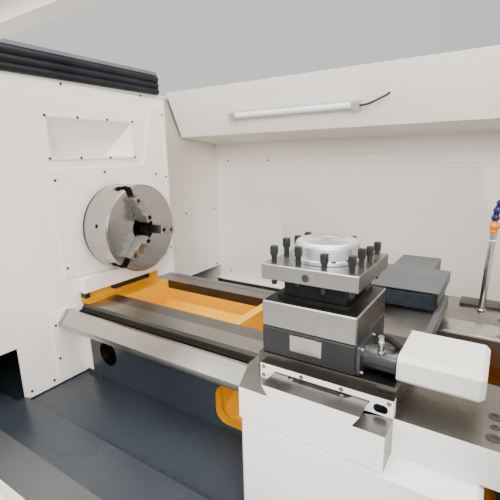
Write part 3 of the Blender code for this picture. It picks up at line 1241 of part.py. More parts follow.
def build_saddle_fittings(carrier):
    """Grey slide cover, cross-feed motor, coolant pipe and its jointed nozzle."""
    low = SEAT_TOP + CLEAR
    outline = [(COVER_LEFT, COVER_SKIRT), (COVER_LEFT, COVER_TOP), (COVER_RIGHT, COVER_TOP),
               (COVER_RIGHT, COVER_SKIRT), (COVER_RIGHT - SHEET, COVER_SKIRT),
               (COVER_RIGHT - SHEET, COVER_TOP - SHEET), (COVER_LEFT + SHEET, COVER_TOP - SHEET),
               (COVER_LEFT + SHEET, COVER_SKIRT)]
    cover = bar("rear_slide_cover", "Y", outline, COVER_FRONT, COVER_REAR)
    back = COVER_REAR - SHEET / 2
    wall = box("cover_wall", (COVER_LEFT + SHEET / 2, back - SHEET, low),
               (SLIDE_RIGHT - SHEET, back, COVER_TOP - SHEET / 2))
    notch = box("cover_notch", (DOVE_MIDDLE - CHANNEL_HALF, COVER_REAR - OVERRUN, low - OVERRUN),
                (DOVE_MIDDLE + CHANNEL_HALF, COVER_REAR + OVERRUN, COVER_NOTCH))
    part(cut(add(cover, wall), notch), SLATE, carrier)
    work = box("x_servo_motor", (SERVO_LEFT, SERVO_FRONT, low), (SERVO_RIGHT, SERVO_SPLIT, SERVO_TOP))
    motor = box("x_motor_body", (SERVO_LEFT + SERVO_MOTOR_INSET, SERVO_SPLIT - OVERRUN, low + SHEET),
                (SERVO_RIGHT - SERVO_MOTOR_INSET, SERVO_REAR, SERVO_MOTOR_TOP))
    add(soften(work, SHEET), motor)
    bore = rods("x_bearing", "Y", X_SCREW_RADIUS + CLEAR, SERVO_SPLIT - SERVO_FRONT - OVERRUN,
                [(DOVE_MIDDLE, SERVO_FRONT - OVERRUN, X_SCREW_Z)], 16)
    part(cut(work, bore), SLATE, carrier)
    x, y = PIPE_PLACE
    pipe = tube("coolant_pipe", [(x, y, low), (x, y, low + PIPE_FOOT),
                                 (x + PIPE_LEAN, y, PIPE_TOP - PIPE_FOOT), (x + PIPE_LEAN, y, PIPE_TOP)],
                PIPE_RADIUS, resolution=3)
    part(pipe, STEEL, carrier)


def build_nozzle(carrier):
    """Orange fitting and blue jointed hose on the top of the coolant pipe."""
    x, y = PIPE_PLACE
    start = Vector((x + PIPE_LEAN, y, PIPE_TOP + CLEAR))
    points = [start, start + Vector((0, 0, NOZZLE_LENGTH))]
    radii = [NOZZLE_COLLAR / HOSE_RADIUS, NOZZLE_COLLAR / HOSE_RADIUS]
    heading = Vector((0, 0, 1))
    place = points[-1]
    for index in range(HOSE_LINKS):
        heading = Matrix.Rotation(HOSE_BEND if index < HOSE_LINKS / 2 else 0, 3, "Y") @ heading
        for share, radius in HOSE_LINK_SHARES:
            points.append(place + heading * HOSE_PITCH * share)
            radii.append(radius)
        place = place + heading * HOSE_PITCH
    part(tube("coolant_nozzle", [tuple(point) for point in points], HOSE_RADIUS, radii, 2), BLUE, carrier)


# Cross slide and tool post

SLIDE_INSET = 0.031
SLIDE_WIDTH = 0.215
SLIDE_LEFT = SADDLE_LEFT + SLIDE_INSET
SLIDE_RIGHT = SLIDE_LEFT + SLIDE_WIDTH
SLIDE_TOP = -0.113
SLIDE_FRONT = -0.278
SLIDE_REAR = 0.075
SLIDE_FIT = 0.0004
WIPER_THICK = 0.012
WIPER_TOP = -0.124
WIPER_FIT = 0.001
WIPER_INSET = 0.010
WIPER_SLOT_GAP = 0.007
WIPER_SLOT_LENGTH = 0.0195
WIPER_SLOT_RIGHT = SLIDE_RIGHT - WIPER_SLOT_GAP
WIPER_SLOT_LEFT = WIPER_SLOT_RIGHT - WIPER_SLOT_LENGTH
WIPER_SLOT_BOTTOM = -0.1465
WIPER_SLOT_TOP = -0.134
WIPER_SLOT_ROUND = 0.006
SLIDE_BAR_WIDTH = 0.012
SLIDE_BAR_TOP = -0.108
SLIDE_BAR_BOTTOM = -0.135
SLIDE_BAR_FRONT = -0.080
SLIDE_BAR_REAR = 0.138
NUT_HALF = 0.011
NUT_BOTTOM = -0.169
NUT_SPAN = (-0.050, -0.020)


def dove_void(fit, low, high):
    """Female dovetail section round the saddle's dovetail with a fit on every side."""
    slope = (DOVE_TOP_HALF - DOVE_FOOT_HALF) / (DOVE_TOP - SADDLE_TOP)
    top = DOVE_TOP + fit
    wide = DOVE_TOP_HALF + fit + fit
    foot = wide - (top - low) * slope
    return [(DOVE_MIDDLE - foot, low - high), (DOVE_MIDDLE + foot, low - high), (DOVE_MIDDLE + foot, low),
            (DOVE_MIDDLE + wide, top), (DOVE_MIDDLE - wide, top), (DOVE_MIDDLE - foot, low)]


def build_cross_slide(carrier):
    """Cross slide with its female dovetail and nut, the front wiper casting and the side bar."""
    low = SADDLE_TOP + CLEAR
    work = box("cross_slide", (SLIDE_LEFT, SLIDE_FRONT, low), (SLIDE_RIGHT, SLIDE_REAR, SLIDE_TOP))
    void = bar("slide_void", "Y", dove_void(SLIDE_FIT, low, OVERRUN), SLIDE_FRONT - OVERRUN,
               SLIDE_REAR + OVERRUN)
    cut(work, void)
    nut = box("slide_nut", (DOVE_MIDDLE - NUT_HALF, NUT_SPAN[0], NUT_BOTTOM),
              (DOVE_MIDDLE + NUT_HALF, NUT_SPAN[1], DOVE_TOP + OVERRUN))
    add(work, nut)
    hole = rods("x_nut_hole", "Y", X_SCREW_RADIUS + CLEAR, NUT_SPAN[1] - NUT_SPAN[0] + OVERRUN + OVERRUN,
                [(DOVE_MIDDLE, NUT_SPAN[0] - OVERRUN, X_SCREW_Z)], 16)
    part(cut(work, hole), STEEL, carrier)
    back = SLIDE_FRONT - CLEAR
    front = back - WIPER_THICK
    wiper = box("slide_wiper", (SLIDE_LEFT + WIPER_INSET, front, low), (SLIDE_RIGHT, back, WIPER_TOP))
    slot = rounded((WIPER_SLOT_LEFT, WIPER_SLOT_BOTTOM), (WIPER_SLOT_RIGHT, WIPER_SLOT_TOP),
                   WIPER_SLOT_ROUND)
    cut(wiper, bar("wiper_void", "Y", dove_void(WIPER_FIT, low, OVERRUN), front - OVERRUN, back + OVERRUN),
        bar("wiper_slot", "Y", slot, front - OVERRUN, back + OVERRUN))
    part(wiper, WHITE, carrier)
    part(box("slide_bar", (SLIDE_RIGHT + CLEAR, SLIDE_BAR_FRONT, SLIDE_BAR_BOTTOM),
             (SLIDE_RIGHT + SLIDE_BAR_WIDTH, SLIDE_BAR_REAR, SLIDE_BAR_TOP)), DARK_STEEL, carrier)


POST_INSET = 0.081
POST = (SLIDE_LEFT + POST_INSET, -0.199)
POST_HALF = 0.076
BASE_BOTTOM_Z = SLIDE_TOP + CLEAR
BLOCK_BOTTOM = -0.067
TOOL_SEAT = -0.025
NECK_HALF = 0.050
PLATE_BOTTOM = 0.010
PLATE_TOP = 0.034
POST_EDGE = 0.002
NECK_RING = 0.058
NECK_RING_HEIGHT = 0.006
BOLT_PITCH = 0.041
BOLT_COUNT = 4
BOLT_HALF = 0.0055
BOLT_HEAD = 0.013
BOLT_STEM = 0.0045
BOLT_RISE = 0.013
BOLT_END = -0.001
CAP_RADIUS = 0.050
CAP_FLANGE = 0.054
CAP_FLANGE_HEIGHT = 0.006
CAP_TOP = 0.066
CAP_ROUND = 0.010
CAP_DISH = 0.002
MOTOR_AXIS_Z = -0.0935
TURRET_MOTOR_SHIFT = 0.040   # motor towards the operator from the post's middle
TURRET_MOTOR_REACH = 0.085
TURRET_MOTOR_END = SLIDE_RIGHT + TURRET_MOTOR_REACH
TURRET_FLANGE = 0.0192
TURRET_FLANGE_WIDTH = 0.010
TURRET_BODY = 0.0182
TURRET_TAIL = 0.0150         # narrower rear half inside the cover
COVER_LAP = 0.006
MOTOR_COVER_LENGTH = 0.1055
MOTOR_COVER_LEFT = SLIDE_RIGHT - COVER_LAP
MOTOR_COVER_LOW = (MOTOR_COVER_LEFT, -0.2615, SLIDE_TOP + CLEAR + CLEAR)
MOTOR_COVER_HIGH = (MOTOR_COVER_LEFT + MOTOR_COVER_LENGTH, -0.157, -0.074)
COVER_CHAMFER = 0.006
CONDUIT_RADIUS = 0.0045


def build_post_base(carrier):
    """Tool post base bolted to the cross slide, its drive motor, cream cover and conduit."""
    x, y = POST
    work = box("tool_post_base", (x - POST_HALF, y - POST_HALF, BASE_BOTTOM_Z),
               (x + POST_HALF, y + POST_HALF, BLOCK_BOTTOM - CLEAR))
    part(soften(work, POST_EDGE), CHARCOAL, carrier)
    side = x + POST_HALF + CLEAR
    end = MOTOR_COVER_LEFT - SHEET
    profile = [(0, TURRET_MOTOR_END), (TURRET_TAIL, TURRET_MOTOR_END), (TURRET_TAIL, end),
               (TURRET_BODY, end), (TURRET_BODY, side + TURRET_FLANGE_WIDTH),
               (TURRET_FLANGE, side + TURRET_FLANGE_WIDTH), (TURRET_FLANGE, side), (0, side)]
    place = (0, y - TURRET_MOTOR_SHIFT, MOTOR_AXIS_Z)
    part(turned("turret_motor", "X", profile, place, 32), CHARCOAL, carrier)
    part(motor_cover(), CREAM, carrier)


def motor_cover():
    """Hollow cover with chamfered edges, open towards the motor."""
    (x0, y0, z0), (x1, y1, z1) = MOTOR_COVER_LOW, MOTOR_COVER_HIGH
    outer = box("motor_cover", (x0 - OVERRUN, y0, z0), (x1, y1, z1))
    inner = box("cover_hollow", (x0 - OVERRUN - OVERRUN, y0 + SHEET, z0 + SHEET),
                (x1 - SHEET, y1 - SHEET, z1 - SHEET))
    mouth = box("cover_mouth", (x0 - OVERRUN - OVERRUN, y0 - OVERRUN, z0 - OVERRUN),
                (x0, y1 + OVERRUN, z1 + OVERRUN))
    return cut(soften(outer, COVER_CHAMFER), soften(inner, COVER_CHAMFER), mouth)


def build_conduit(carrier):
    """Short spiral conduit from the motor to the cover, outside the swing of the block's corners."""
    x = POST[0] + math.hypot(POST_HALF, POST_HALF) + CONDUIT_RADIUS + CLEAR
    y = POST[1] - TURRET_MOTOR_SHIFT
    low = MOTOR_AXIS_Z + TURRET_BODY + CONDUIT_RADIUS + CLEAR
    wide = CONDUIT_RADIUS + CONDUIT_RADIUS
    top = MOTOR_COVER_HIGH[2] - wide
    far = y + wide + wide + wide
    points = [(x, y, low), (x, y + wide, low + CONDUIT_RADIUS), (x, y + wide + wide, low),
              (x + wide, far, top), (MOTOR_COVER_LEFT - CLEAR, far, top)]
    part(tube("motor_conduit", points, CONDUIT_RADIUS), BLACK, carrier)


def build_tool_post(carrier):
    """Square indexing head: block with neck, clamp plate with twelve bolts, and the cap."""
    x, y = POST
    block = box("tool_post_block", (x - POST_HALF, y - POST_HALF, BLOCK_BOTTOM),
                (x + POST_HALF, y + POST_HALF, TOOL_SEAT))
    soften(block, POST_EDGE)
    ring_top = TOOL_SEAT + NECK_RING_HEIGHT
    add(block, box("neck_ring", (x - NECK_RING, y - NECK_RING, TOOL_SEAT - OVERRUN),
                   (x + NECK_RING, y + NECK_RING, ring_top)),
        box("neck", (x - NECK_HALF, y - NECK_HALF, TOOL_SEAT - OVERRUN),
            (x + NECK_HALF, y + NECK_HALF, PLATE_BOTTOM - CLEAR)))
    part(block, STEEL, carrier)
    plate = box("clamp_plate", (x - POST_HALF, y - POST_HALF, PLATE_BOTTOM),
                (x + POST_HALF, y + POST_HALF, PLATE_TOP))
    soften(plate, POST_EDGE)
    span = (BOLT_COUNT - 1) / 2
    for row in range(BOLT_COUNT):
        for column in range(BOLT_COUNT):
            if 0 < row < BOLT_COUNT - 1 and 0 < column < BOLT_COUNT - 1:
                continue
            bx = x + (column - span) * BOLT_PITCH
            by = y + (row - span) * BOLT_PITCH
            stem = rods(f"bolt_{row}_{column}", "Z", BOLT_STEM,
                        PLATE_TOP + BOLT_RISE + BOLT_HEAD / 2 - BOLT_END, [(bx, by, BOLT_END)], 10)
            head = box(f"head_{row}_{column}", (bx - BOLT_HALF, by - BOLT_HALF, PLATE_TOP + BOLT_RISE),
                       (bx + BOLT_HALF, by + BOLT_HALF, PLATE_TOP + BOLT_RISE + BOLT_HEAD))
            add(plate, stem, head)
    part(plate, STEEL, carrier)
    low = PLATE_TOP + CLEAR
    flange = low + CAP_FLANGE_HEIGHT
    profile = [(0, CAP_TOP - CAP_DISH), (CAP_RADIUS / 2, CAP_TOP - CAP_DISH),
               (CAP_RADIUS / 2 + CAP_DISH, CAP_TOP)]
    profile += [(CAP_RADIUS - CAP_ROUND + a, CAP_TOP - CAP_ROUND + b)
                for a, b in arc((0, 0), CAP_ROUND, 90, 0, 5)]
    profile += [(CAP_RADIUS, flange), (CAP_FLANGE, flange), (CAP_FLANGE, low), (0, low)]
    part(turned("tool_post_cap", "Z", profile, (x, y, 0), 48), ALUMINIUM, carrier)


Z_SERVO_GAP = 0.010
Z_SERVO_LEFT = WALL + Z_SERVO_GAP
Z_SERVO_LENGTH = 0.120
Z_SERVO_HALF = 0.045
Z_SCREW_ENTRY = 0.030


def build_screws(along_z, along_x):
    """Bed screw and cross screw; the bed screw's servo motor stands on the bed's rear face."""
    servo_end = Z_SERVO_LEFT + Z_SERVO_LENGTH
    start = servo_end - Z_SCREW_ENTRY
    screw = rods("z_ball_screw", "X", Z_SCREW_RADIUS, Z_SCREW_END - start,
                 [(start, Z_SCREW_Y, Z_SCREW_Z)], 20)
    part(screw, STEEL, along_z)
    screw = rods("x_ball_screw", "Y", X_SCREW_RADIUS, SERVO_FRONT - X_SCREW_FRONT + Z_SCREW_ENTRY,
                 [(DOVE_MIDDLE, X_SCREW_FRONT, X_SCREW_Z)], 12)
    part(screw, STEEL, along_x)
    servo = box("z_servo_motor", (Z_SERVO_LEFT, REAR_WALL + CLEAR, Z_SCREW_Z - Z_SERVO_HALF),
                (servo_end, Z_SCREW_Y + Z_SERVO_HALF, REAR_WAY_LOW - CLEAR))
    bore = rods("servo_bore", "X", Z_SCREW_RADIUS + CLEAR, Z_SCREW_ENTRY + OVERRUN + CLEAR,
                [(start - CLEAR, Z_SCREW_Y, Z_SCREW_Z)], 20)
    return servo, bore


# Tailstock

TAIL_LENGTH = 0.250
TAIL_FRONT = -0.216
TAIL_REAR = 0.200
TAIL_BASE_TOP = -0.150
TAIL_WAIST_HALF = 0.070
BARREL_RADIUS = 0.062
QUILL_RADIUS = 0.036
QUILL_REACH = 0.080
QUILL_TIP = TAIL_LEFT - QUILL_REACH
CENTRE_LENGTH = 0.050
CENTRE_RADIUS = 0.018
QUILL_TRAVEL = 0.080
WHEEL_GAP = 0.004
TAIL_WHEEL_RADIUS = 0.080
TAIL_WHEEL_RIM = 0.010
TAIL_WHEEL_WIDTH = 0.018
TAIL_WHEEL_HUB = 0.020
TAIL_STEM = 0.010


def build_tailstock(body, sliding, turning):
    """Tailstock casting, quill with its centre, and the hand wheel."""
    end = TAIL_LEFT + TAIL_LENGTH
    work = box("tailstock_body", (TAIL_LEFT, TAIL_FRONT, WAY_TOP + CLEAR),
               (end, TAIL_REAR, TAIL_BASE_TOP))
    soften(work, EDGE)
    waist = box("waist", (TAIL_LEFT + EDGE, -TAIL_WAIST_HALF, TAIL_BASE_TOP - OVERRUN),
                (end - EDGE, TAIL_WAIST_HALF, 0))
    add(work, waist, rods("barrel", "X", BARREL_RADIUS, TAIL_LENGTH, [(TAIL_LEFT, 0, 0)], 40))
    cut(work, rods("quill_bore", "X", QUILL_RADIUS + CLEAR, TAIL_LENGTH - TAIL_WHEEL_WIDTH + OVERRUN,
                   [(TAIL_LEFT - OVERRUN, 0, 0)], 32),
        rods("stem_bore", "X", TAIL_STEM + CLEAR, TAIL_LENGTH, [(TAIL_LEFT + OVERRUN + OVERRUN, 0, 0)], 16))
    part(work, CREAM, body)
    shoulder = QUILL_TIP + CENTRE_LENGTH
    back = end - TAIL_WHEEL_WIDTH - EDGE
    stem = TAIL_STEM + CLEAR
    stem_start = back - QUILL_TRAVEL - CENTRE_LENGTH
    profile = [(0, stem_start), (stem, stem_start), (stem, back), (QUILL_RADIUS, back),
               (QUILL_RADIUS, shoulder), (CENTRE_RADIUS, shoulder),
               (CENTRE_RADIUS, QUILL_TIP + CENTRE_RADIUS + EDGE), (0, QUILL_TIP)]
    part(turned("tailstock_quill", "X", profile, steps=32), STEEL, sliding)
    hub = end + WHEEL_GAP
    rim = TAIL_WHEEL_RADIUS
    outer = hub + TAIL_WHEEL_WIDTH
    profile = [(0, outer), (TAIL_WHEEL_HUB, outer), (TAIL_WHEEL_HUB, hub + EDGE + EDGE),
               (rim - TAIL_WHEEL_RIM, hub + EDGE + EDGE), (rim - TAIL_WHEEL_RIM, outer), (rim, outer),
               (rim, hub + EDGE), (TAIL_WHEEL_HUB, hub + EDGE), (TAIL_WHEEL_HUB, hub), (TAIL_STEM, hub),
               (TAIL_STEM, stem_start + CENTRE_LENGTH), (0, stem_start + CENTRE_LENGTH)]
    part(turned("tailstock_handwheel", "X", profile, steps=40), IRON, turning)


def smooth_round_pieces():
    """Shade faces smooth and keep the real edges sharp."""
    for work in list(parts.objects):
        if work.type != "MESH":
            continue
        work.data.shade_smooth()
        work.data.set_sharp_from_angle(angle=math.radians(35))


def build_machine():
    """Put every piece on the body that carries it."""
    spindle = pivot("spindle_turn", parent=datum)
    scroll = pivot("scroll_turn", parent=spindle)
    motor = pivot("motor_turn", (0.0, MOTOR_Y, MOTOR_Z), datum)
    saddle = pivot("saddle_slide", parent=datum)
    slide = pivot("cross_slide_travel", parent=saddle)
    post = pivot("tool_post_turn", (*POST, 0.0), slide)
    bed_screw = pivot("z_screw_turn", (0.0, Z_SCREW_Y, Z_SCREW_Z), datum)
    cross_screw = pivot("x_screw_turn", (DOVE_MIDDLE, 0.0, X_SCREW_Z), saddle)
    tail = pivot("tailstock_slide", parent=datum)
    quill = pivot("quill_slide", parent=tail)
    tail_wheel = pivot("tail_wheel_turn", parent=tail)
    door = pivot("door_slide", parent=datum)
    power_door = pivot("cabinet_hinge", (POWER_LEFT, REAR_REACH - POWER_HINGE, POWER_BOTTOM), datum)
    stop = pivot("stop_slide", (STOP_PLACE[0], CONTROL_FRONT, STOP_PLACE[1]), datum)
    knob = pivot("knob_turn", (KNOB_PLACE[0], CONTROL_FRONT, KNOB_PLACE[1]), datum)
    wheel = pivot("wheel_turn", (WHEEL_PLACE[0], CONTROL_FRONT, WHEEL_PLACE[1]), datum)
    build_base()
    build_chip_tray()
    build_bed()
    build_headstock()
    build_spindle(spindle)
    part(pulley("motor_pulley", MOTOR_PULLEY_RADIUS, (PULLEY_START, MOTOR_Y, MOTOR_Z),
                shaft=MOTOR_LEFT - PULLEY_START - CLEAR), DARK_STEEL, motor)
    build_drive()
    build_chuck(spindle)
    build_scroll(scroll)
    for index in range(JAW_COUNT):
        build_jaw(index, pivot(f"jaw_slide_{index + 1}", parent=spindle))
    build_side_wall()
    build_wall_pocket()
    build_wall_covers()
    build_cabinet()
    build_rear_guard()
    build_canopy()
    build_lamp()
    build_front_guard()
    build_door(door)
    build_control()
    build_controls(stop, knob, wheel)
    build_electrical_cabinet(power_door)
    build_saddle(saddle)
    build_apron(saddle)
    build_saddle_fittings(saddle)
    build_nozzle(saddle)
    build_cross_slide(slide)
    build_post_base(slide)
    build_conduit(slide)
    build_tool_post(post)
    servo, bore = build_screws(bed_screw, cross_screw)
    part(cut(servo, bore), SLATE)
    build_tailstock(tail, quill, tail_wheel)
    smooth_round_pieces()


build_machine()
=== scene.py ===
"""A guarded flat-bed turning lathe, dressed for a studio picture, piece by piece as it is put together."""
import json
import math

import bmesh
import bpy
import numpy as np
from mathutils import Matrix, Vector


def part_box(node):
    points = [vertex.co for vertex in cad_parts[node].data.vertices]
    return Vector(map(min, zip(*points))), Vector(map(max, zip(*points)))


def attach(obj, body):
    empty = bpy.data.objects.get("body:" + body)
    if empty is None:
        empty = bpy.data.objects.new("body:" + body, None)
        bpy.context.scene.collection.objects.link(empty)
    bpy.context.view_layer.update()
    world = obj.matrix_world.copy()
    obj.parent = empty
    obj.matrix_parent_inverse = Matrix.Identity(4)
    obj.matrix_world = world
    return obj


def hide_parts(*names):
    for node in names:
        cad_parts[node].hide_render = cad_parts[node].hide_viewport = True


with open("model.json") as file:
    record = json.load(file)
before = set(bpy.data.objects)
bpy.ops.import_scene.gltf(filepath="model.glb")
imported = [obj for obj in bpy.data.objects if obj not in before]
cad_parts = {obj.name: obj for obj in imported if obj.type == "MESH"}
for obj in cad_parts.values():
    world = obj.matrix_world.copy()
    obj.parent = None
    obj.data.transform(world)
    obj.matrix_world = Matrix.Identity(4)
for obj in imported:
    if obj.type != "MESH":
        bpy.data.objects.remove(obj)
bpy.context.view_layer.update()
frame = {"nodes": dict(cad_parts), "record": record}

# Camera: it stands at the open door, looks left along the bed and down, and is tipped by a degree.
# Its place is measured from the middle of the chuck's face.
chuck_low, chuck_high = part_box("chuck_body")
chuck_face = Vector((chuck_high.x, (chuck_low.y + chuck_high.y) / 2, (chuck_low.z + chuck_high.z) / 2))
CAMERA_FROM_CHUCK = Vector((0.8708, -0.7744, 0.1919))
CAMERA_TURN = math.radians(33.1336)
CAMERA_DIP = math.radians(13.1573)
CAMERA_ROLL = math.radians(-1.2561)
FOCAL_PIXELS = 395.276
PHOTO_PIXELS = 500
SENSOR = 36.0


def placed(name, data):
    """New object in the scene."""
    made = bpy.data.objects.new(name, data)
    bpy.context.scene.collection.objects.link(made)
    return made


def look_from_door():
    """Camera axes: forward is turned left and dipped, right is level, then both are rolled."""
    forward = Vector((-math.sin(CAMERA_TURN) * math.cos(CAMERA_DIP),
                      math.cos(CAMERA_TURN) * math.cos(CAMERA_DIP), -math.sin(CAMERA_DIP)))
    level = Vector((math.cos(CAMERA_TURN), math.sin(CAMERA_TURN), 0.0))
    upright = level.cross(forward)
    right = level * math.cos(CAMERA_ROLL) + upright * math.sin(CAMERA_ROLL)
    up = upright * math.cos(CAMERA_ROLL) - level * math.sin(CAMERA_ROLL)
    lens = bpy.data.cameras.new("door_camera")
    lens.sensor_width = SENSOR
    lens.lens = FOCAL_PIXELS / PHOTO_PIXELS * SENSOR
    lens.clip_start = 0.01
    camera = placed("door_camera", lens)
    camera.matrix_world = (Matrix.Translation(chuck_face + CAMERA_FROM_CHUCK)
                           @ Matrix((right, up, -forward)).transposed().to_4x4())
    bpy.context.scene.camera = camera


look_from_door()


# Studio: a pale floor that the machine stands on, and a pale sky that is dimmer on the machine's right.
# Large soft lamps hang over the open top and stand before the open door, on the left and behind.
FLOOR_REACH = 8.0


def grid_mesh(name, points):
    """Surface through a grid of points of shape (rows, columns, 3), one quad between four neighbours."""
    rows, columns = points.shape[:2]
    index = np.arange(rows * columns).reshape(rows, columns)
    quads = np.stack([index[:-1, :-1], index[:-1, 1:], index[1:, 1:], index[1:, :-1]], axis=-1).reshape(-1, 4)
    mesh = bpy.data.meshes.new(name)
    mesh.from_pydata(points.reshape(-1, 3).tolist(), [], quads.tolist())
    return mesh


def fed(tree, node, inputs):
    """Set a node's inputs, by name or number, to values or link them to other nodes, and give its outputs."""
    for name, value in inputs.items():
        if isinstance(value, bpy.types.NodeSocket):
            tree.links.new(value, node.inputs[name])
        else:
            node.inputs[name].default_value = value
    return node.outputs


def new_node(tree, kind, inputs, operation=None):
    """Shader node of one kind, fed with its inputs."""
    node = tree.nodes.new("ShaderNode" + kind)
    if operation:
        node.operation = operation
    return fed(tree, node, inputs)


def ranged(tree, value, low, high, start=0.0, end=1.0):
    """Value spread from the range start to end over the range low to high."""
    return new_node(tree, "MapRange", {"Value": value, "From Min": start, "From Max": end,
                                       "To Min": low, "To Max": high})["Result"]


def blank_material(name):
    """New material, its node tree and its shader."""
    made = bpy.data.materials.new(name)
    made.use_nodes = True
    return made, made.node_tree, made.node_tree.nodes["Principled BSDF"]


def studio_floor():
    """Square grid at height zero in one even colour."""
    across = np.linspace(-FLOOR_REACH, FLOOR_REACH, 3)
    x, y = np.meshgrid(across, across)
    mesh = grid_mesh("studio_floor", np.stack([x, y, x * 0.0], axis=-1))
    made, tree, shader = blank_material("studio_floor")
    fed(tree, shader, {"Base Color": (0.62, 0.61, 0.59, 1.0), "Roughness": 0.7})
    mesh.materials.append(made)
    placed("studio_floor", mesh)


def soft_lamp(name, place, aim, width, height, watts):
    """Rectangular area lamp of warm light that faces a point."""
    lamp = bpy.data.lights.new(name, "AREA")
    lamp.shape = "RECTANGLE"
    lamp.size = width
    lamp.size_y = height
    lamp.energy = watts
    lamp.color = (1.0, 0.97, 0.93)
    stand = placed(name, lamp)
    stand.location = place
    stand.rotation_euler = (Vector(aim) - Vector(place)).to_track_quat("-Z", "Y").to_euler()


def studio_sky(colour, bright, dim):
    """Pale sky that dims evenly from the machine's left side to its right side."""
    sky = bpy.data.worlds.new("studio_sky")
    sky.use_nodes = True
    tree = sky.node_tree
    heading = tree.nodes.new("ShaderNodeTexCoord").outputs["Generated"]
    rightward = new_node(tree, "SeparateXYZ", {"Vector": heading})["X"]
    fed(tree, tree.nodes["Background"], {"Color": (*colour, 1.0),
                                         "Strength": ranged(tree, rightward, bright, dim, -0.2, 0.8)})
    bpy.context.scene.world = sky


studio_floor()
studio_sky((0.97, 0.98, 1.0), 0.85, 0.25)
soft_lamp("roof_lamp", (0.55, -0.45, 3.2), (0.45, 0.05, 1.0), 2.6, 1.6, 130)
soft_lamp("door_lamp", (1.9, -2.6, 2.3), (0.3, 0.1, 1.0), 2.2, 1.8, 175)
soft_lamp("left_lamp", (-2.8, -2.4, 2.6), (0.0, 0.0, 0.9), 2.4, 2.0, 90)
soft_lamp("back_lamp", (-0.6, 3.2, 2.6), (0.0, 0.2, 0.9), 2.6, 2.0, 70)


# Sheet guards: folded steel sheet, sprayed with a warm white satin enamel that has a fine orange-peel
# skin and is dusty and rubbed in broad clouds. Their folded edges are slightly rounded.
FLOAT = "NodeSocketFloat"
VECTOR = "NodeSocketVector"
SHARP = math.radians(35)
bodies = frame["record"]["behaviour"]["bodies"]
body_of_node = {node: body for body, nodes in bodies.items() for node in nodes}


def new_group(name, inputs, outputs):
    """Node group, what its user gives it, and its way out. Inputs have a kind and a first value."""
    group = bpy.data.node_groups.new(name, "ShaderNodeTree")
    for label, (kind, value) in inputs.items():
        group.interface.new_socket(name=label, in_out="INPUT", socket_type=kind).default_value = value
    for label, kind in outputs.items():
        group.interface.new_socket(name=label, in_out="OUTPUT", socket_type=kind)
    return group, group.nodes.new("NodeGroupInput").outputs, group.nodes.new("NodeGroupOutput")


def noise(tree, place, scale, detail=2.0, roughness=0.5):
    """Noise between 0 and 1 over a place."""
    return new_node(tree, "TexNoise", {"Vector": place, "Scale": scale, "Detail": detail,
                                       "Roughness": roughness})["Fac"]


def spray_skin_group():
    """Peel is a fine noise for relief, Cloud a broad noise between 0 and 1 for tone."""
    group, given, leave = new_group("spray_skin", {
        "Vector": (VECTOR, (0.0, 0.0, 0.0)), "Peel Scale": (FLOAT, 700.0), "Peel Depth": (FLOAT, 0.12),
        "Cloud Scale": (FLOAT, 3.0)}, {"Cloud": FLOAT, "Normal": VECTOR})
    peel = noise(group, given["Vector"], given["Peel Scale"])
    cloud = noise(group, given["Vector"], given["Cloud Scale"], 6.0, 0.62)
    relief = new_node(group, "Bump", {"Distance": 0.0006, "Strength": given["Peel Depth"], "Height": peel})
    fed(group, leave, {"Cloud": ranged(group, cloud, 0.0, 1.0, 0.32, 0.70), "Normal": relief["Normal"]})
    return group


SPRAY_SKIN = spray_skin_group()


def from_group(tree, group, inputs):
    """What a node group puts out at the piece's own coordinates."""
    node = tree.nodes.new("ShaderNodeGroup")
    node.node_tree = group
    place = tree.nodes.new("ShaderNodeTexCoord").outputs["Object"]
    return fed(tree, node, {"Vector": place, **inputs})


def mixed(tree, mask, low, high):
    """Colour between two colours by a mask."""
    mix = tree.nodes.new("ShaderNodeMix")
    mix.data_type = "RGBA"
    return fed(tree, mix, {"A": (*low, 1.0), "B": (*high, 1.0), "Factor": mask})["Result"]


def enamel(name, clean, worn, gloss=(0.38, 0.52), peel=(700.0, 0.12), cloud=3.0, shine=0.5):
    """Sprayed paint that runs from a clean to a worn tone in broad clouds."""
    made, tree, shader = blank_material(name)
    skin = from_group(tree, SPRAY_SKIN, {"Peel Scale": peel[0], "Peel Depth": peel[1], "Cloud Scale": cloud})
    fed(tree, shader, {"Base Color": mixed(tree, skin["Cloud"], clean, worn),
                       "Roughness": ranged(tree, skin["Cloud"], *gloss),
                       "Normal": skin["Normal"], "Specular IOR Level": shine})
    return made


def finished(node, materials, edge=0.0, segments=2, paint_by=None, cuts=()):
    """Copy of a CAD node with merged corners, rounded edges and its own finish, in the node's place.
    Cuts are planes, each by a place on it and its normal, that only split faces for their paint."""
    mesh = frame["nodes"][node].data.copy()
    mesh.materials.clear()
    for coat in materials if isinstance(materials, list) else [materials]:
        mesh.materials.append(coat)
    bm = bmesh.new()
    bm.from_mesh(mesh)
    bmesh.ops.remove_doubles(bm, verts=bm.verts, dist=0.00001)
    for place, normal in cuts:
        bmesh.ops.bisect_plane(bm, geom=bm.verts[:] + bm.edges[:] + bm.faces[:], dist=0.00001,
                               plane_co=place, plane_no=normal)
    if paint_by is not None:
        for face in bm.faces:
            face.material_index = paint_by(face.calc_center_median(), face.normal)
    bmesh.ops.dissolve_limit(bm, angle_limit=math.radians(0.5), verts=bm.verts, edges=bm.edges,
                             delimit={"MATERIAL"})
    bm.to_mesh(mesh)
    bm.free()
    mesh.shade_smooth()
    mesh.set_sharp_from_angle(angle=SHARP)
    piece = placed(node + "_finished", mesh)
    if edge:
        bevel = piece.modifiers.new("edge", "BEVEL")
        bevel.width = edge
        bevel.segments = segments
        bevel.limit_method = "ANGLE"
        bevel.angle_limit = SHARP
        bevel.harden_normals = True
    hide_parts(node)
    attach(piece, body_of_node[node])
    return piece


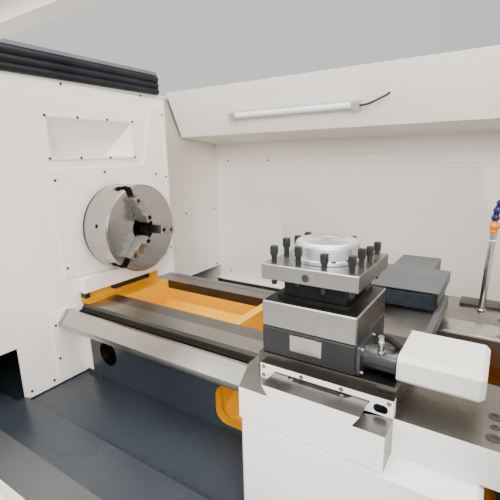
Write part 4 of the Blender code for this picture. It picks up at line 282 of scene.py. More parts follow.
CREAM = enamel("warm_white_enamel", (0.86, 0.825, 0.765), (0.80, 0.765, 0.70), (0.40, 0.56))
for guard in ("chuck_cover_panel", "headstock_guard", "rear_guard",
              "canopy", "front_guard", "door_panel", "electrical_cabinet", "cabinet_door"):
    finished(guard, CREAM, 0.0008)
finished("headstock_side_wall", CREAM)
finished("cover_beam", CREAM, 0.0012)


# Wall pocket and wall screws: the pocket is pressed from one sheet and has a frame screwed on. Its back
# slopes from the top edge to its depth at the foot, so both cheeks are triangles. Small black socket
# screws hold it and the sheets of both walls.
POCKET_FRAME = ((-0.187, 0.197), (0.099, 0.310))
POCKET_MOUTH = ((-0.1795, 0.2045), (0.0915, 0.3025))
POCKET_FOOT = (-0.128, 0.022)
POCKET_DEEP = -0.168
POCKET_FACE = -0.1177
POCKET_BACK = -0.1199
SHEET = 0.0012


def rings_mesh(name, stacks):
    """Closed skins: each stack holds rings of points from foot to tip, and both end rings run to
    their middles."""
    points, faces, start = [], [], 0
    for rings in stacks:
        count, around = rings.shape[:2]
        points += [rings.reshape(-1, 3), rings[:1].mean(axis=1), rings[-1:].mean(axis=1)]
        index = start + np.arange(count * around).reshape(count, around)
        after = np.roll(index, -1, axis=1)
        faces += np.stack([index[:-1], after[:-1], after[1:], index[1:]], axis=-1).reshape(-1, 4).tolist()
        foot = np.full(around, start + count * around)
        faces += np.stack([after[0], index[0], foot], axis=-1).tolist()
        faces += np.stack([index[-1], after[-1], foot + 1], axis=-1).tolist()
        start += count * around + 2
    mesh = bpy.data.meshes.new(name)
    mesh.from_pydata(np.concatenate(points).tolist(), [], faces)
    return mesh


def levelled(outlines):
    """Rings from pairs of a flat outline and its height."""
    return np.stack([np.column_stack([outline, np.full(len(outline), height)])
                     for outline, height in outlines])


def added(name, stacks, material, body, sharp=SHARP):
    """New piece from stacks of rings, with its finish, riding on a body."""
    mesh = rings_mesh(name, stacks)
    mesh.materials.append(material)
    mesh.shade_smooth()
    mesh.set_sharp_from_angle(angle=sharp)
    piece = placed(name, mesh)
    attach(piece, body)
    return piece


def pocket_rings():
    """Rings of four corners each: the skin's back, its mouth behind the frame, the frame's back and
    front edge, the mouth, and the sloping back wall; only the foot corners go deep."""
    (y0, z0), (y1, z1) = POCKET_MOUTH
    (f0, g0), (f1, g1) = POCKET_FRAME
    low, high = POCKET_FOOT
    back, face, deep, t = POCKET_BACK, POCKET_FACE, POCKET_DEEP, SHEET
    rings = [
        [(deep - t, low - t, z0), (deep - t, high + t, z0), (back, y1 + t, z1 + t), (back, y0 - t, z1 + t)],
        [(back, y0 - t, z0 - t), (back, y1 + t, z0 - t), (back, y1 + t, z1 + t), (back, y0 - t, z1 + t)],
        [(back, f0, g0), (back, f1, g0), (back, f1, g1), (back, f0, g1)],
        [(face, f0, g0), (face, f1, g0), (face, f1, g1), (face, f0, g1)],
        [(face, y0, z0), (face, y1, z0), (face, y1, z1), (face, y0, z1)],
        [(deep, low, z0), (deep, high, z0), (face - t, y1 - t, z1), (face - t, y0 + t, z1)]]
    return np.array(rings) + np.array(chuck_face)


pocket = added("pressed_pocket", [pocket_rings()], CREAM, "frame")
# The sloping back gets a darker copy of the cream enamel: painted shade under the frame's top.
pocket.data.materials.append(enamel("pocket_back_painted_shade", (0.60, 0.585, 0.53), (0.54, 0.525, 0.475)))
for side in pocket.data.polygons:
    side.material_index = int(side.normal.x > 0.3 and side.normal.z > 0.1
                              and side.center.x < chuck_face.x + POCKET_BACK)
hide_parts("wall_pocket")
RIGHT = (1, 0, 0)
FRONT = (0, -1, 0)
UP = (0, 0, 1)


def at_chuck(x, y, z):
    """Place measured from the middle of the chuck's face."""
    return np.array(chuck_face) + (x, y, z)


def stood(rings, place, out, side=UP):
    """Rings drawn about +Z, set at a place: height runs along out, and +X lies along side."""
    out = np.asarray(out, float) / np.linalg.norm(out)
    side = np.asarray(side, float) - out * np.dot(side, out)
    if np.linalg.norm(side) < 1e-6:
        side = np.array((1.0, 0.0, 0.0)) - out * out[0]
    side = side / np.linalg.norm(side)
    return rings @ np.stack([side, np.cross(out, side), out]) + np.asarray(place, float)


def socket_screw(radius, height, socket_share=0.5, around=24):
    """Screw head: round side and shoulder, then a six-sided socket whose radius at a turn t is
    the socket's times cos 30 over cos of t's distance from the middle of its flat."""
    turn = np.linspace(0.0, math.tau, around, endpoint=False)
    circle = np.stack([np.cos(turn), np.sin(turn)], axis=-1)
    six = circle * (math.cos(math.pi / 6) / np.cos(turn % (math.pi / 3) - math.pi / 6))[:, None]
    rings = [(circle, 1.0, 0.0), (circle, 1.0, 0.75), (circle, 0.95, 0.93), (circle, 0.86, 1.0),
             (six, socket_share + 0.04, 1.0), (six, socket_share, 0.94), (six, socket_share, 0.35)]
    return levelled([(outline * radius * share, height * level) for outline, share, level in rings])


def screws(name, size, places, out, material, body):
    """Screws of one size, by radius, height and the socket's share, that face one way, as one piece."""
    return added(name, [stood(socket_screw(*size), at_chuck(*place), out) for place in places],
                 material, body)


SCREW_BLACK = enamel("screw_black", (0.016, 0.016, 0.017), (0.040, 0.038, 0.036), (0.28, 0.45),
                     (1500.0, 0.1), 60.0)
SCREW_SIZE = (0.0034, 0.0022)
WALL_X = -0.120
WALL_SCREWS = {            # distance from the wall's face, then places across and up
    0.0023: ((-0.183, 0.2008), (-0.093, 0.2008), (0.003, 0.2008), (0.0945, 0.2008),
             (-0.183, 0.3063), (-0.091, 0.3063), (0.004, 0.3063), (0.095, 0.3063)),
    0.0043: ((-0.178, 0.145), (-0.024, 0.161), (0.177, 0.146), (-0.024, 0.116), (-0.175, -0.091)),
    0.0060: ((0.220, 0.135), (0.220, -0.112), (0.220, 0.335)),
    0.0020: ((-0.229, -0.239), (-0.229, -0.336)),
    0.0000: ((-0.253, -0.391), (-0.315, -0.391), (-0.127, 0.386), (0.139, 0.386), (-0.420, 0.386),
             (0.316, -0.004), (0.485, -0.004), (0.486, -0.236), (-0.505, 0.150), (-0.505, -0.150)),
}
wall_places = [(WALL_X + off, y, z) for off, places in WALL_SCREWS.items() for y, z in places]
screws("wall_screws", SCREW_SIZE, wall_places, RIGHT, SCREW_BLACK, "frame")
BACK_FACE = 0.5100
BACK_SCREW_ROWS = (0.181, -0.262)
BACK_SCREW_RUN = (-0.06, 1.40, 0.18)
PANEL_START, PANEL_END = 0.17, 0.91
back_places = [(x, BACK_FACE, z) for z in BACK_SCREW_ROWS for x in np.arange(*BACK_SCREW_RUN)
               if z < 0.0 or not PANEL_START < x < PANEL_END]
screws("back_wall_screws", SCREW_SIZE, back_places, FRONT, SCREW_BLACK, "frame")


# Base and chip tray: cast base and folded tray, both in dark blue-grey enamel. The tray is filmed with
# coolant, so it is glossier than the guards and holds dusty clouds. The upward faces of the tray's front sill
# are a lighter grey as painted light.
SLATE = enamel("slate_enamel", (0.022, 0.028, 0.036), (0.040, 0.047, 0.057), (0.22, 0.36),
               (420.0, 0.06), 1.6, 0.4)
SILL_TOP_LIGHT = enamel("sill_top_painted_light", (0.050, 0.054, 0.058), (0.070, 0.074, 0.078), (0.34, 0.50),
                   (420.0, 0.10), 2.2)
SILL_REAR = -0.430
REAR = (0, 1, 0)
finished("base", SLATE, 0.003)
# The sill's upward faces get a lighter grey than its front faces: painted light on the top.
finished("chip_tray", [SLATE, SILL_TOP_LIGHT], 0.0006, cuts=[(at_chuck(0.0, SILL_REAR, 0.0), REAR)],
         paint_by=lambda middle, normal: int(middle.y < chuck_face.y + SILL_REAR and normal.z > 0.5))


# Bed: one iron casting. The ways are ground bright along their length, the bays and chip windows are
# painted yellow and the outer walls slate. The flanks are planed iron, painted darker as painted shade; the
# groove behind the front ridge and the drain pocket are black as painted shadow; the inner way's rear band
# is a darker steel as painted shade, and the rear way is that darker steel too.
def ground_metal_group():
    """Streaks are a noise drawn out along one direction, Haze a broad noise, both between 0 and 1."""
    group, given, leave = new_group("ground_metal", {
        "Vector": (VECTOR, (0.0, 0.0, 0.0)), "Stretch": (VECTOR, (1.0, 1.0, 1.0)),
        "Streak Depth": (FLOAT, 0.05), "Haze Scale": (FLOAT, 9.0)},
        {"Streaks": FLOAT, "Haze": FLOAT, "Normal": VECTOR})
    drawn = new_node(group, "VectorMath", {0: given["Vector"], 1: given["Stretch"]}, "MULTIPLY")
    streak = noise(group, drawn["Vector"], 1.0, 5.0, 0.7)
    haze = noise(group, given["Vector"], given["Haze Scale"], 5.0)
    relief = new_node(group, "Bump", {"Distance": 0.0004, "Strength": given["Streak Depth"], "Height": streak})
    fed(group, leave, {"Streaks": streak, "Haze": ranged(group, haze, 0.0, 1.0, 0.34, 0.66),
                       "Normal": relief["Normal"]})
    return group


GROUND_METAL = ground_metal_group()
LINES_ALONG_X = (6.0, 900.0, 900.0)
LINES_ALONG_Y = (900.0, 6.0, 900.0)
LINES_ALONG_Z = (900.0, 900.0, 6.0)


def ground_steel(name, bright, dull, lines=LINES_ALONG_X, gloss=(0.22, 0.40), depth=0.06, haze=9.0,
                 metallic=1.0):
    """Bare metal with fine lines one way and a hazy tone of oil and handling."""
    made, tree, shader = blank_material(name)
    grain = from_group(tree, GROUND_METAL, {"Stretch": lines, "Streak Depth": depth, "Haze Scale": haze})
    dulled = new_node(tree, "Math", {0: ranged(tree, grain["Streaks"], 0.0, 1.0, 0.25, 0.75),
                                     1: ranged(tree, grain["Haze"], 0.35, 1.0)}, "MULTIPLY")
    fed(tree, shader, {"Base Color": mixed(tree, dulled["Value"], bright, dull),
                       "Roughness": ranged(tree, grain["Haze"], *gloss),
                       "Normal": grain["Normal"], "Metallic": metallic})
    return made


BED_YELLOW = enamel("bed_yellow_enamel", (0.78, 0.37, 0.0005), (0.70, 0.32, 0.0005), (0.20, 0.34),
                    (300.0, 0.20), 6.0, 0.3)
WAY_BRIGHT = ground_steel("ground_way", (0.47, 0.455, 0.43), (0.37, 0.356, 0.335), gloss=(0.28, 0.36))
WAY_DULL = ground_steel("darker_way_and_painted_shade", (0.25, 0.243, 0.232), (0.19, 0.183, 0.175), gloss=(0.28, 0.36),
                        haze=14.0)
WAY_DARK = ground_steel("planed_iron_and_painted_shade", (0.105, 0.100, 0.092), (0.06, 0.057, 0.052), gloss=(0.35, 0.55))
WAY_BLACK = ground_steel("groove_painted_shadow", (0.030, 0.029, 0.026), (0.018, 0.017, 0.015), gloss=(0.40, 0.60))
BED_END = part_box("bed")[1].x
RIDGE_BACK = -0.187
FRONT_WALL = -0.149
INNER_FRONT = -0.1385
INNER_SHADE_EDGE = -0.087
BAY_FRONT = -0.040
BAY_BACK = 0.142
BAY_START = -0.12
LAND_END = -0.099
SUMP_END = 0.030
WINDOW_START, WINDOW_END = 0.02, 1.36
GROOVE_SHADE = -0.2125
FLANK_FOOT = -0.231
WAY_FOOT = -0.249
WINDOW_TOP = -0.25
SUMP_LEVEL = -0.285
UNDERSIDE = -0.39
BED_CUTS = [(at_chuck(0, y, 0), REAR) for y in (RIDGE_BACK, INNER_FRONT, INNER_SHADE_EDGE, BAY_FRONT, BAY_BACK)]
BED_CUTS += [(at_chuck(0, 0, z), UP) for z in (GROOVE_SHADE, FLANK_FOOT, SUMP_LEVEL)]
BED_CUTS += [(at_chuck(x, 0, 0), RIGHT) for x in (LAND_END, SUMP_END)]
BED_COATS = [WAY_BRIGHT, WAY_DULL, WAY_DARK, BED_YELLOW, WAY_BLACK, SLATE]
BRIGHT, DULL, DARK, YELLOW, BLACK, OUTER = range(6)


def bed_paint(middle, normal):
    """Ways bright, lands, bays and windows yellow, outer walls slate. Painted shade: sunk flanks dark, the
    groove and the drain pocket black, the inner way's rear band a darker steel, which the rear way also wears.
    """
    x, y, z = (middle[axis] - chuck_face[axis] for axis in range(3))
    if middle.x > BED_END - 0.001 or normal.z < -0.9 and z < UNDERSIDE:
        return OUTER
    if BAY_FRONT - 0.001 < y < BAY_BACK + 0.001 and x > BAY_START:
        # The rear way's front flank is planed iron painted dark, darker still as painted shade.
        if normal.y < -0.9 and z > FLANK_FOOT and y > 0.0:
            return DARK
        # The drain pocket low in the first bay is black as painted shade.
        return BLACK if x < SUMP_END and z < SUMP_LEVEL and y < 0.0 else YELLOW
    if FRONT_WALL < y < BAY_FRONT and z < WINDOW_TOP:
        if WINDOW_START < x < WINDOW_END:
            return YELLOW
        # The front wall's inside beside the drain is black as painted shade.
        if x < SUMP_END:
            return BLACK
    if z > WAY_FOOT and (normal.z > -0.3 or y > BAY_BACK):
        # The slope behind the front ridge: black below GROOVE_SHADE and dark above it, both painted shade.
        if RIDGE_BACK - 0.0005 < y < INNER_FRONT + 0.0005:
            return BLACK if z < GROOVE_SHADE else DARK
        if INNER_FRONT < y < BAY_FRONT and x < LAND_END:
            return YELLOW
        # The inner way's rear band is a darker steel as painted shade of a flank that faces away from the
        # light; the rear way is the same darker steel.
        return DULL if y > BAY_BACK or INNER_SHADE_EDGE < y < BAY_FRONT else BRIGHT
    return OUTER


finished("bed", BED_COATS, 0.0008, paint_by=bed_paint, cuts=BED_CUTS)


def plate_outline(width, height, corner, steps=5):
    """Rectangle about the origin with round corners, anticlockwise: a quarter arc at each corner."""
    turn = np.linspace(0.0, math.pi / 2, steps)
    quarter = np.stack([np.cos(turn), np.sin(turn)], axis=-1) * corner
    middle = np.array([width, height]) / 2 - corner
    sides = []
    for k, sign in enumerate(((1, 1), (-1, 1), (-1, -1), (1, -1))):
        c, s = round(math.cos(math.pi / 2 * k)), round(math.sin(math.pi / 2 * k))
        sides.append(quarter @ np.array([[c, s], [-s, c]]) + middle * sign)
    return np.concatenate(sides)


def edged_plate(width, height, thick, corner, edge):
    """Plate with rounded corners whose upper edge is drawn in along a quarter circle."""
    outlines = [(plate_outline(width, height, corner), 0.0)]
    for turn in np.linspace(0.0, math.pi / 2, 4):
        inset = edge * (1.0 - math.cos(turn))
        outline = plate_outline(width - inset * 2, height - inset * 2, max(corner - inset, edge * 0.1))
        outlines.append((outline, thick - edge + edge * math.sin(turn)))
    return levelled(outlines)


def plates(name, size, places, out, side, material, body):
    """Plates of one size, by width, height, thickness, corner and edge, that face one way, as one piece."""
    return added(name, [stood(edged_plate(*size), at_chuck(*place), out, side) for place in places],
                 material, body)


UPSTAND_SIZE = (0.295, 0.0325, 0.0012, 0.0008, 0.0004)
UPSTAND_MIDDLE = (-0.1155, 0.0005, -0.1872)
plates("bed_end_upstand", UPSTAND_SIZE, [UPSTAND_MIDDLE], RIGHT, REAR, BED_YELLOW, "frame")
TAG_BLACK = enamel("tag_black", (0.012, 0.011, 0.010), (0.020, 0.018, 0.016), (0.40, 0.55),
                   (900.0, 0.1), 30.0, 0.15)
TAG_CREAM = enamel("tag_cream", (0.60, 0.56, 0.50), (0.50, 0.46, 0.40), (0.40, 0.55), (900.0, 0.1), 30.0)
FLANK_OUT = (0.0, -0.756, 0.655)
FLANK_ALONG = (0.0, 0.655, 0.756)
TAG_SIZE = (0.039, 0.0105, 0.0006, 0.0008, 0.0002)
TAG_PLACE = np.array((-0.1095, -0.2089, -0.2177))
STRIPE_SIZE = (0.037, 0.0016, 0.0009, 0.0004, 0.0002)
STRIPE_SHIFTS = (-0.0026, 0.0020)
plates("rail_end_tag", TAG_SIZE, [TAG_PLACE], FLANK_OUT, FLANK_ALONG, TAG_BLACK, "frame")
plates("rail_tag_stripes", STRIPE_SIZE, [TAG_PLACE + (shift, 0.0, 0.0) for shift in STRIPE_SHIFTS],
       FLANK_OUT, FLANK_ALONG, TAG_CREAM, "frame")


# Headstock: a grey enamelled casting behind the side wall. Its motor drives the spindle with a rubber
# belt over a blackened pulley.
GREY = enamel("grey_enamel", (0.24, 0.25, 0.27), (0.17, 0.18, 0.19), (0.35, 0.50), (500.0, 0.15), 5.0)
BELT_RUBBER = enamel("belt_rubber", (0.016, 0.016, 0.017), (0.035, 0.034, 0.033), (0.55, 0.75),
                     (1500.0, 0.3), 20.0)
TURNED_DARK = ground_steel("blackened_steel", (0.075, 0.073, 0.072), (0.035, 0.034, 0.033),
                           (500.0, 60.0, 60.0), (0.28, 0.45), 0.05, 14.0)
finished("headstock_housing", GREY)
finished("spindle_motor", GREY, 0.002)
finished("drive_belt", BELT_RUBBER, 0.0008)
finished("motor_pulley", TURNED_DARK, 0.0006)


# Chuck: body, back plate, scroll and stepped jaws. The body is turned and polished, so its lines run
# round the axis, and the chamfer at its rim is a darker steel as painted shade. Slots, bore and scroll
# chamber are black as painted shade in these recesses, and the socket screws are black.
def turned_steel(name, bright, dull, centre, axis, gloss=(0.16, 0.30)):
    """Lines run round an axis: a noise over the distance from the axis and the place along it."""
    made, tree, shader = blank_material(name)
    place = tree.nodes.new("ShaderNodeTexCoord").outputs["Object"]
    apart = new_node(tree, "VectorMath", {0: place, 1: centre}, "SUBTRACT")["Vector"]
    along = new_node(tree, "VectorMath", {0: apart, 1: axis}, "MULTIPLY")["Vector"]
    flat = new_node(tree, "VectorMath", {0: apart, 1: along}, "SUBTRACT")["Vector"]
    reach = new_node(tree, "VectorMath", {0: flat}, "LENGTH")["Value"]
    depth = new_node(tree, "VectorMath", {0: apart, 1: axis}, "DOT_PRODUCT")["Value"]
    pair = new_node(tree, "CombineXYZ", {"X": reach, "Y": depth})["Vector"]
    lines = noise(tree, pair, 1500.0, 3.0)
    haze = noise(tree, place, 16.0, 5.0)
    relief = new_node(tree, "Bump", {"Distance": 0.0003, "Strength": 0.06, "Height": lines})["Normal"]
    fed(tree, shader, {"Base Color": mixed(tree, ranged(tree, lines, 0.0, 1.0, 0.3, 0.7), bright, dull),
                       "Roughness": ranged(tree, haze, *gloss, 0.35, 0.65),
                       "Normal": relief, "Metallic": 1.0, "Anisotropic": 0.55})
    return made


CHUCK_STEEL = turned_steel("turned_chuck_steel", (0.47, 0.455, 0.435), (0.33, 0.32, 0.305), chuck_face, RIGHT)
# The rim's chamfer gets a darker steel than the body: painted shade.
CHUCK_RIM_SHADE = turned_steel("chuck_rim_painted_shade", (0.22, 0.215, 0.205), (0.16, 0.155, 0.15), chuck_face, RIGHT,
                         (0.40, 0.50))
# Black for black parts, and black as painted shade in slots, holes and other recesses.
SLOT_BLACK = enamel("black_and_painted_shade", (0.006, 0.0065, 0.007), (0.013, 0.013, 0.012), (0.30, 0.50),
                    (900.0, 0.1), 30.0, 0.15)
RIM_REACH = 0.118


def chuck_paint(middle, normal):
    """Outer faces bright, the rim's chamfer darker as painted shade; slots, bore, scroll chamber and sockets
    black as painted shade.
    """
    out = Vector((0.0, middle.y - chuck_face.y, middle.z - chuck_face.z))
    facing = out.normalized().dot(normal)
    if normal.x > 0.9 and middle.x > chuck_high.x - 0.001:
        return 0
    if normal.x > 0.3 and facing > 0.3 and out.length > RIM_REACH:
        return 2
    return 0 if facing > 0.85 and out.length > RIM_REACH else 1


finished("chuck_body", [CHUCK_STEEL, SLOT_BLACK, CHUCK_RIM_SHADE], 0.0003, paint_by=chuck_paint)
finished("chuck_backplate", TURNED_DARK, 0.001)
finished("chuck_scroll", TURNED_DARK)
finished("spindle", CHUCK_STEEL, 0.0005)
JAW_STEEL = ground_steel("ground_jaw_steel", (0.42, 0.41, 0.395), (0.27, 0.262, 0.25), (300.0, 300.0, 300.0),
                         (0.26, 0.40), 0.03, 40.0)
FIRST_JAW = -10            # degrees about the axis, up from the rear
JAW_SCREW_REACH = (0.038, 0.088)
JAW_SCREW_FOOT = 0.0185
JAW_SCREW_SIZE = (0.0054, 0.004, 0.55)
JAW_HOLE = 0.0061
for count, jaw in enumerate(("jaw_1", "jaw_2", "jaw_3")):
    turn = math.radians(120 * count + FIRST_JAW)
    feet = [(JAW_SCREW_FOOT, math.cos(turn) * reach, math.sin(turn) * reach) for reach in JAW_SCREW_REACH]
    # The jaws' screw holes are black as painted shade.
    finished(jaw, [JAW_STEEL, SLOT_BLACK], 0.0008, paint_by=lambda middle, normal: int(any(
        math.hypot(middle.y - chuck_face.y - y, middle.z - chuck_face.z - z) < JAW_HOLE for x, y, z in feet)
        and (abs(normal.x) < 0.5 or middle.x < chuck_face.x + JAW_SCREW_FOOT)))
    screws(jaw + "_screws", JAW_SCREW_SIZE, feet, RIGHT, SCREW_BLACK, jaw)


# Side wall fittings: a ridged rubber rail is pushed on the wall's top edge, with a grey strip on its
# flat. A rubber strip wipes under the low beam, and a moulded block closes the beam's end.
RAIL_RUBBER = enamel("rail_rubber", (0.007, 0.009, 0.012), (0.014, 0.016, 0.020), (0.30, 0.42),
                     (600.0, 0.12), 9.0, 0.25)
RAIL_GREY = enamel("rail_strip_grey", (0.11, 0.12, 0.135), (0.16, 0.17, 0.185), (0.40, 0.60),
                   (600.0, 0.12), 9.0)
RAIL_SPAN = (-0.530, 0.208)
RAIL_BACK = -0.165
RAIL_FACE = -0.112
RAIL_FOOT = 0.3953
RAIL_TOP = 0.4625
FLAT_FOOT = 0.452
RIDGE_PITCH = 0.0185
RIDGE_DEPTH = 0.006


def ridged_rail():
    """Two rings along the wall of one profile: three bulges of half a sine each, and a flat on top."""
    turn = np.linspace(0.0, math.pi, 9)[:-1]
    bulges = [(RAIL_FACE + RIDGE_DEPTH * math.sin(t), RAIL_FOOT + RIDGE_PITCH * (count + t / math.pi))
              for count in range(3) for t in turn]
    profile = ([(RAIL_BACK, RAIL_FOOT)] + bulges
               + [(RAIL_FACE, FLAT_FOOT), (RAIL_FACE, RAIL_TOP), (RAIL_BACK, RAIL_TOP)])
    across, up = np.array(profile).T
    rings = np.stack([np.stack([across, across * 0.0 + y, up], axis=-1) for y in reversed(RAIL_SPAN)])
    return rings + np.array(chuck_face)


rail = added("ridged_top_rail", [ridged_rail()], RAIL_RUBBER, "frame")
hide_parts("top_seal_rail")
STRIP_SIZE = (0.736, 0.0085, 0.0012, 0.0006, 0.0004)
STRIP_MIDDLE = (RAIL_FACE, -0.161, 0.4572)
plates("top_rail_strip", STRIP_SIZE, [STRIP_MIDDLE], RIGHT, REAR, RAIL_GREY, "frame")
finished("beam_seal", RAIL_RUBBER, 0.0008)
DOWN = (0, 0, -1)
BEAM_BLOCK_SIZE = (0.014, 0.026, 0.015, 0.002, 0.002)
BEAM_BLOCK_TOP = (-0.1055, -0.1390, -0.1704)
plates("beam_end_block", BEAM_BLOCK_SIZE, [BEAM_BLOCK_TOP], DOWN, REAR, RAIL_RUBBER, "frame")


# Lamp: an extruded aluminium strip lamp with a frosted lens and grey end caps. It is fixed on the
# canopy's sloping face, and a short rubber cable bows from its end cap back to the canopy.
LAMP_SHELL = enamel("lamp_shell", (0.42, 0.43, 0.44), (0.34, 0.35, 0.36), (0.30, 0.42), (900.0, 0.05), 20.0)
LAMP_LENS = enamel("frosted_lens", (0.72, 0.76, 0.79), (0.66, 0.70, 0.73), (0.18, 0.26), (1800.0, 0.05), 30.0)
finished("lamp_housing", LAMP_SHELL, 0.001)
finished("lamp_lens", LAMP_LENS)
finished("lamp_cable", BELT_RUBBER)


# Saddle: a scraped and ground iron casting with white enamelled front faces and a white apron. Black
# screws sit in its wings, bright ones hold the screw cover, and a grey cover with a brush guards the
# rear of the slide. Both axes' servo motors and ball screws are finished with it.
SADDLE_STEEL = ground_steel("ground_saddle", (0.33, 0.318, 0.298), (0.17, 0.162, 0.15), LINES_ALONG_Y,
                            (0.24, 0.44), haze=12.0)
WHITE = enamel("white_enamel", (0.90, 0.90, 0.885), (0.82, 0.82, 0.80), (0.26, 0.40), (520.0, 0.16), 5.0)
SCREW_STEEL = ground_steel("screw_steel", (0.62, 0.61, 0.59), (0.45, 0.44, 0.42), (300.0, 300.0, 300.0),
                          (0.24, 0.36), 0.03, 60.0)
SADDLE_PAINT_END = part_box("saddle")[0].y + 0.080
finished("saddle", [SADDLE_STEEL, WHITE], 0.0003, paint_by=lambda middle, normal: int(
    normal.y < -0.2 and abs(normal.z) < 0.5 and middle.y < SADDLE_PAINT_END))
finished("apron", WHITE)
finished("screw_cover", SLOT_BLACK, 0.0006)
WING_TOP = -0.150
WING_BOLT_HEIGHT = 0.0012
WING_BOLTS = ((0.889, -0.216, 0.0085), (0.889, -0.240, 0.0055), (0.888, -0.264, 0.0085),
              (0.889, 0.060, 0.0085), (0.889, 0.150, 0.0085))
SUNK = 0.0002
added("wing_bolts", [stood(socket_screw(radius, WING_BOLT_HEIGHT, 0.45), at_chuck(x, y, WING_TOP - SUNK), UP)
                     for x, y, radius in WING_BOLTS], SCREW_BLACK, "saddle")
DOVETAIL_TOP = -0.134
COVER_SCREW_SIZE = (0.0026, 0.0004, 0.5)
COVER_SCREW_PLACES = [(x, -0.2965, DOVETAIL_TOP - SUNK) for x in (0.6275, 0.7060)]
screws("screw_cover_screws", COVER_SCREW_SIZE, COVER_SCREW_PLACES, UP, SCREW_STEEL, "saddle")
COVER_GREY = enamel("slide_cover_grey", (0.080, 0.082, 0.087), (0.066, 0.068, 0.073), (0.42, 0.58),
                    (800.0, 0.12), 7.0)
BRUSH_SLATE = enamel("brush_slate", (0.022, 0.028, 0.036), (0.010, 0.013, 0.018), (0.55, 0.75),
                     (900.0, 0.5), 90.0, 0.15)
finished("rear_slide_cover", COVER_GREY, 0.0008)
BRUSH_SIZE = (0.222, 0.031, 0.0020, 0.0015, 0.0006)
BRUSH_PLACE = (0.6635, 0.0215, -0.0905)
plates("rear_cover_brush", BRUSH_SIZE, [BRUSH_PLACE], FRONT, RIGHT, BRUSH_SLATE, "saddle")
REAR_BAR_SIZE = (0.112, 0.050, 0.006, 0.002, 0.001)
REAR_BAR_PLACE = (0.857, 0.274, -0.1628)
plates("wing_rear_bar", REAR_BAR_SIZE, [REAR_BAR_PLACE], UP, RIGHT, WAY_DARK, "saddle")
WING_STRIP_SIZE = (0.122, 0.068, 0.0012, 0.001, 0.0006)
WING_STRIP_PLACE = (0.8500, 0.0770, -0.1502)
plates("wing_front_strip", WING_STRIP_SIZE, [WING_STRIP_PLACE], UP, RIGHT, SCREW_STEEL,
       "saddle")
finished("x_servo_motor", COVER_GREY, 0.0015)
finished("z_servo_motor", SLOT_BLACK, 0.0015)
finished("z_ball_screw", JAW_STEEL)
finished("x_ball_screw", JAW_STEEL)


# Coolant pipe and nozzle: a bright pipe stands in the saddle's right wing and has a white ring. On its
# end sit an orange tee with a small tap and blue ball links, which snap into each other and turn a
# little from link to link.
PIPE_CHROME = ground_steel("bright_pipe", (0.72, 0.71, 0.69), (0.52, 0.51, 0.49), (400.0, 400.0, 20.0),
                           (0.08, 0.2), 0.03)
FITTING_ORANGE = enamel("fitting_orange", (0.80, 0.25, 0.0005), (0.72, 0.21, 0.0005), (0.24, 0.36),
                        (1200.0, 0.05), 30.0)
HOSE_BLUE = enamel("hose_blue", (0.010, 0.008, 0.095), (0.008, 0.006, 0.070), (0.26, 0.40),
                   (1200.0, 0.05), 30.0)
RING_WHITE = enamel("ring_white", (0.85, 0.85, 0.84), (0.75, 0.75, 0.74), (0.4, 0.5), (900.0, 0.1), 60.0)
PIPE_FOOT = (0.8485, 0.194, -0.1625)
PIPE_TIP = (0.8545, 0.194, 0.0253)
TEE_PROFILE = [(0.0070, 0.0), (0.0076, 0.001), (0.0076, 0.006), (0.0068, 0.0075), (0.0084, 0.010),
               (0.0092, 0.0145), (0.0084, 0.019), (0.0068, 0.0215), (0.0066, 0.0250), (0.0058, 0.0255)]
TAP_PROFILE = [(0.0052, 0.0), (0.0052, 0.0115), (0.0076, 0.0120), (0.0080, 0.0145), (0.0076, 0.0180),
               (0.0048, 0.0190)]
TAP_FROM_TIP = (0.005, 0.0, 0.0150)
TAP_AXIS = (1, -0.15, 0.1)
TEE_HEIGHT = 0.0255
LINK_PROFILE = [(0.0050, 0.0), (0.0054, 0.0020), (0.0072, 0.0034), (0.0083, 0.0065), (0.0076, 0.0100),
                (0.0060, 0.0128), (0.0058, 0.0150), (0.0066, 0.0166)]
LINK_LENGTH = 0.016
LINK_BENDS = (4, 7, 12, 12, 8, 5, 3)
RING_PROFILE = [(0.0068, 0.0), (0.0078, 0.0003), (0.0080, 0.0018), (0.0078, 0.0023), (0.0068, 0.0026)]
RING_PLACE = (PIPE_TIP[0] - 0.0002, PIPE_TIP[1], 0.0085)


def turned_rings(profile, around=24):
    """Rings about +Z from pairs of radius and height, foot first."""
    turn = np.linspace(0.0, math.tau, around, endpoint=False)
    radius, height = np.array(profile).T
    return np.stack([radius[:, None] * np.cos(turn), radius[:, None] * np.sin(turn),
                     height[:, None] + turn * 0.0], axis=-1)


def nozzle_links():
    """Each link starts where the last one ends, and leans to the right by its own bend more than it."""
    links = []
    place, lean = at_chuck(*PIPE_TIP) + (0.0, 0.0, TEE_HEIGHT), 0.0
    for bend in LINK_BENDS:
        lean += math.radians(bend)
        heading = np.array((math.sin(lean), 0.0, math.cos(lean)))
        links.append(stood(turned_rings(LINK_PROFILE), place, heading, REAR))
        place = place + heading * LINK_LENGTH
    return links


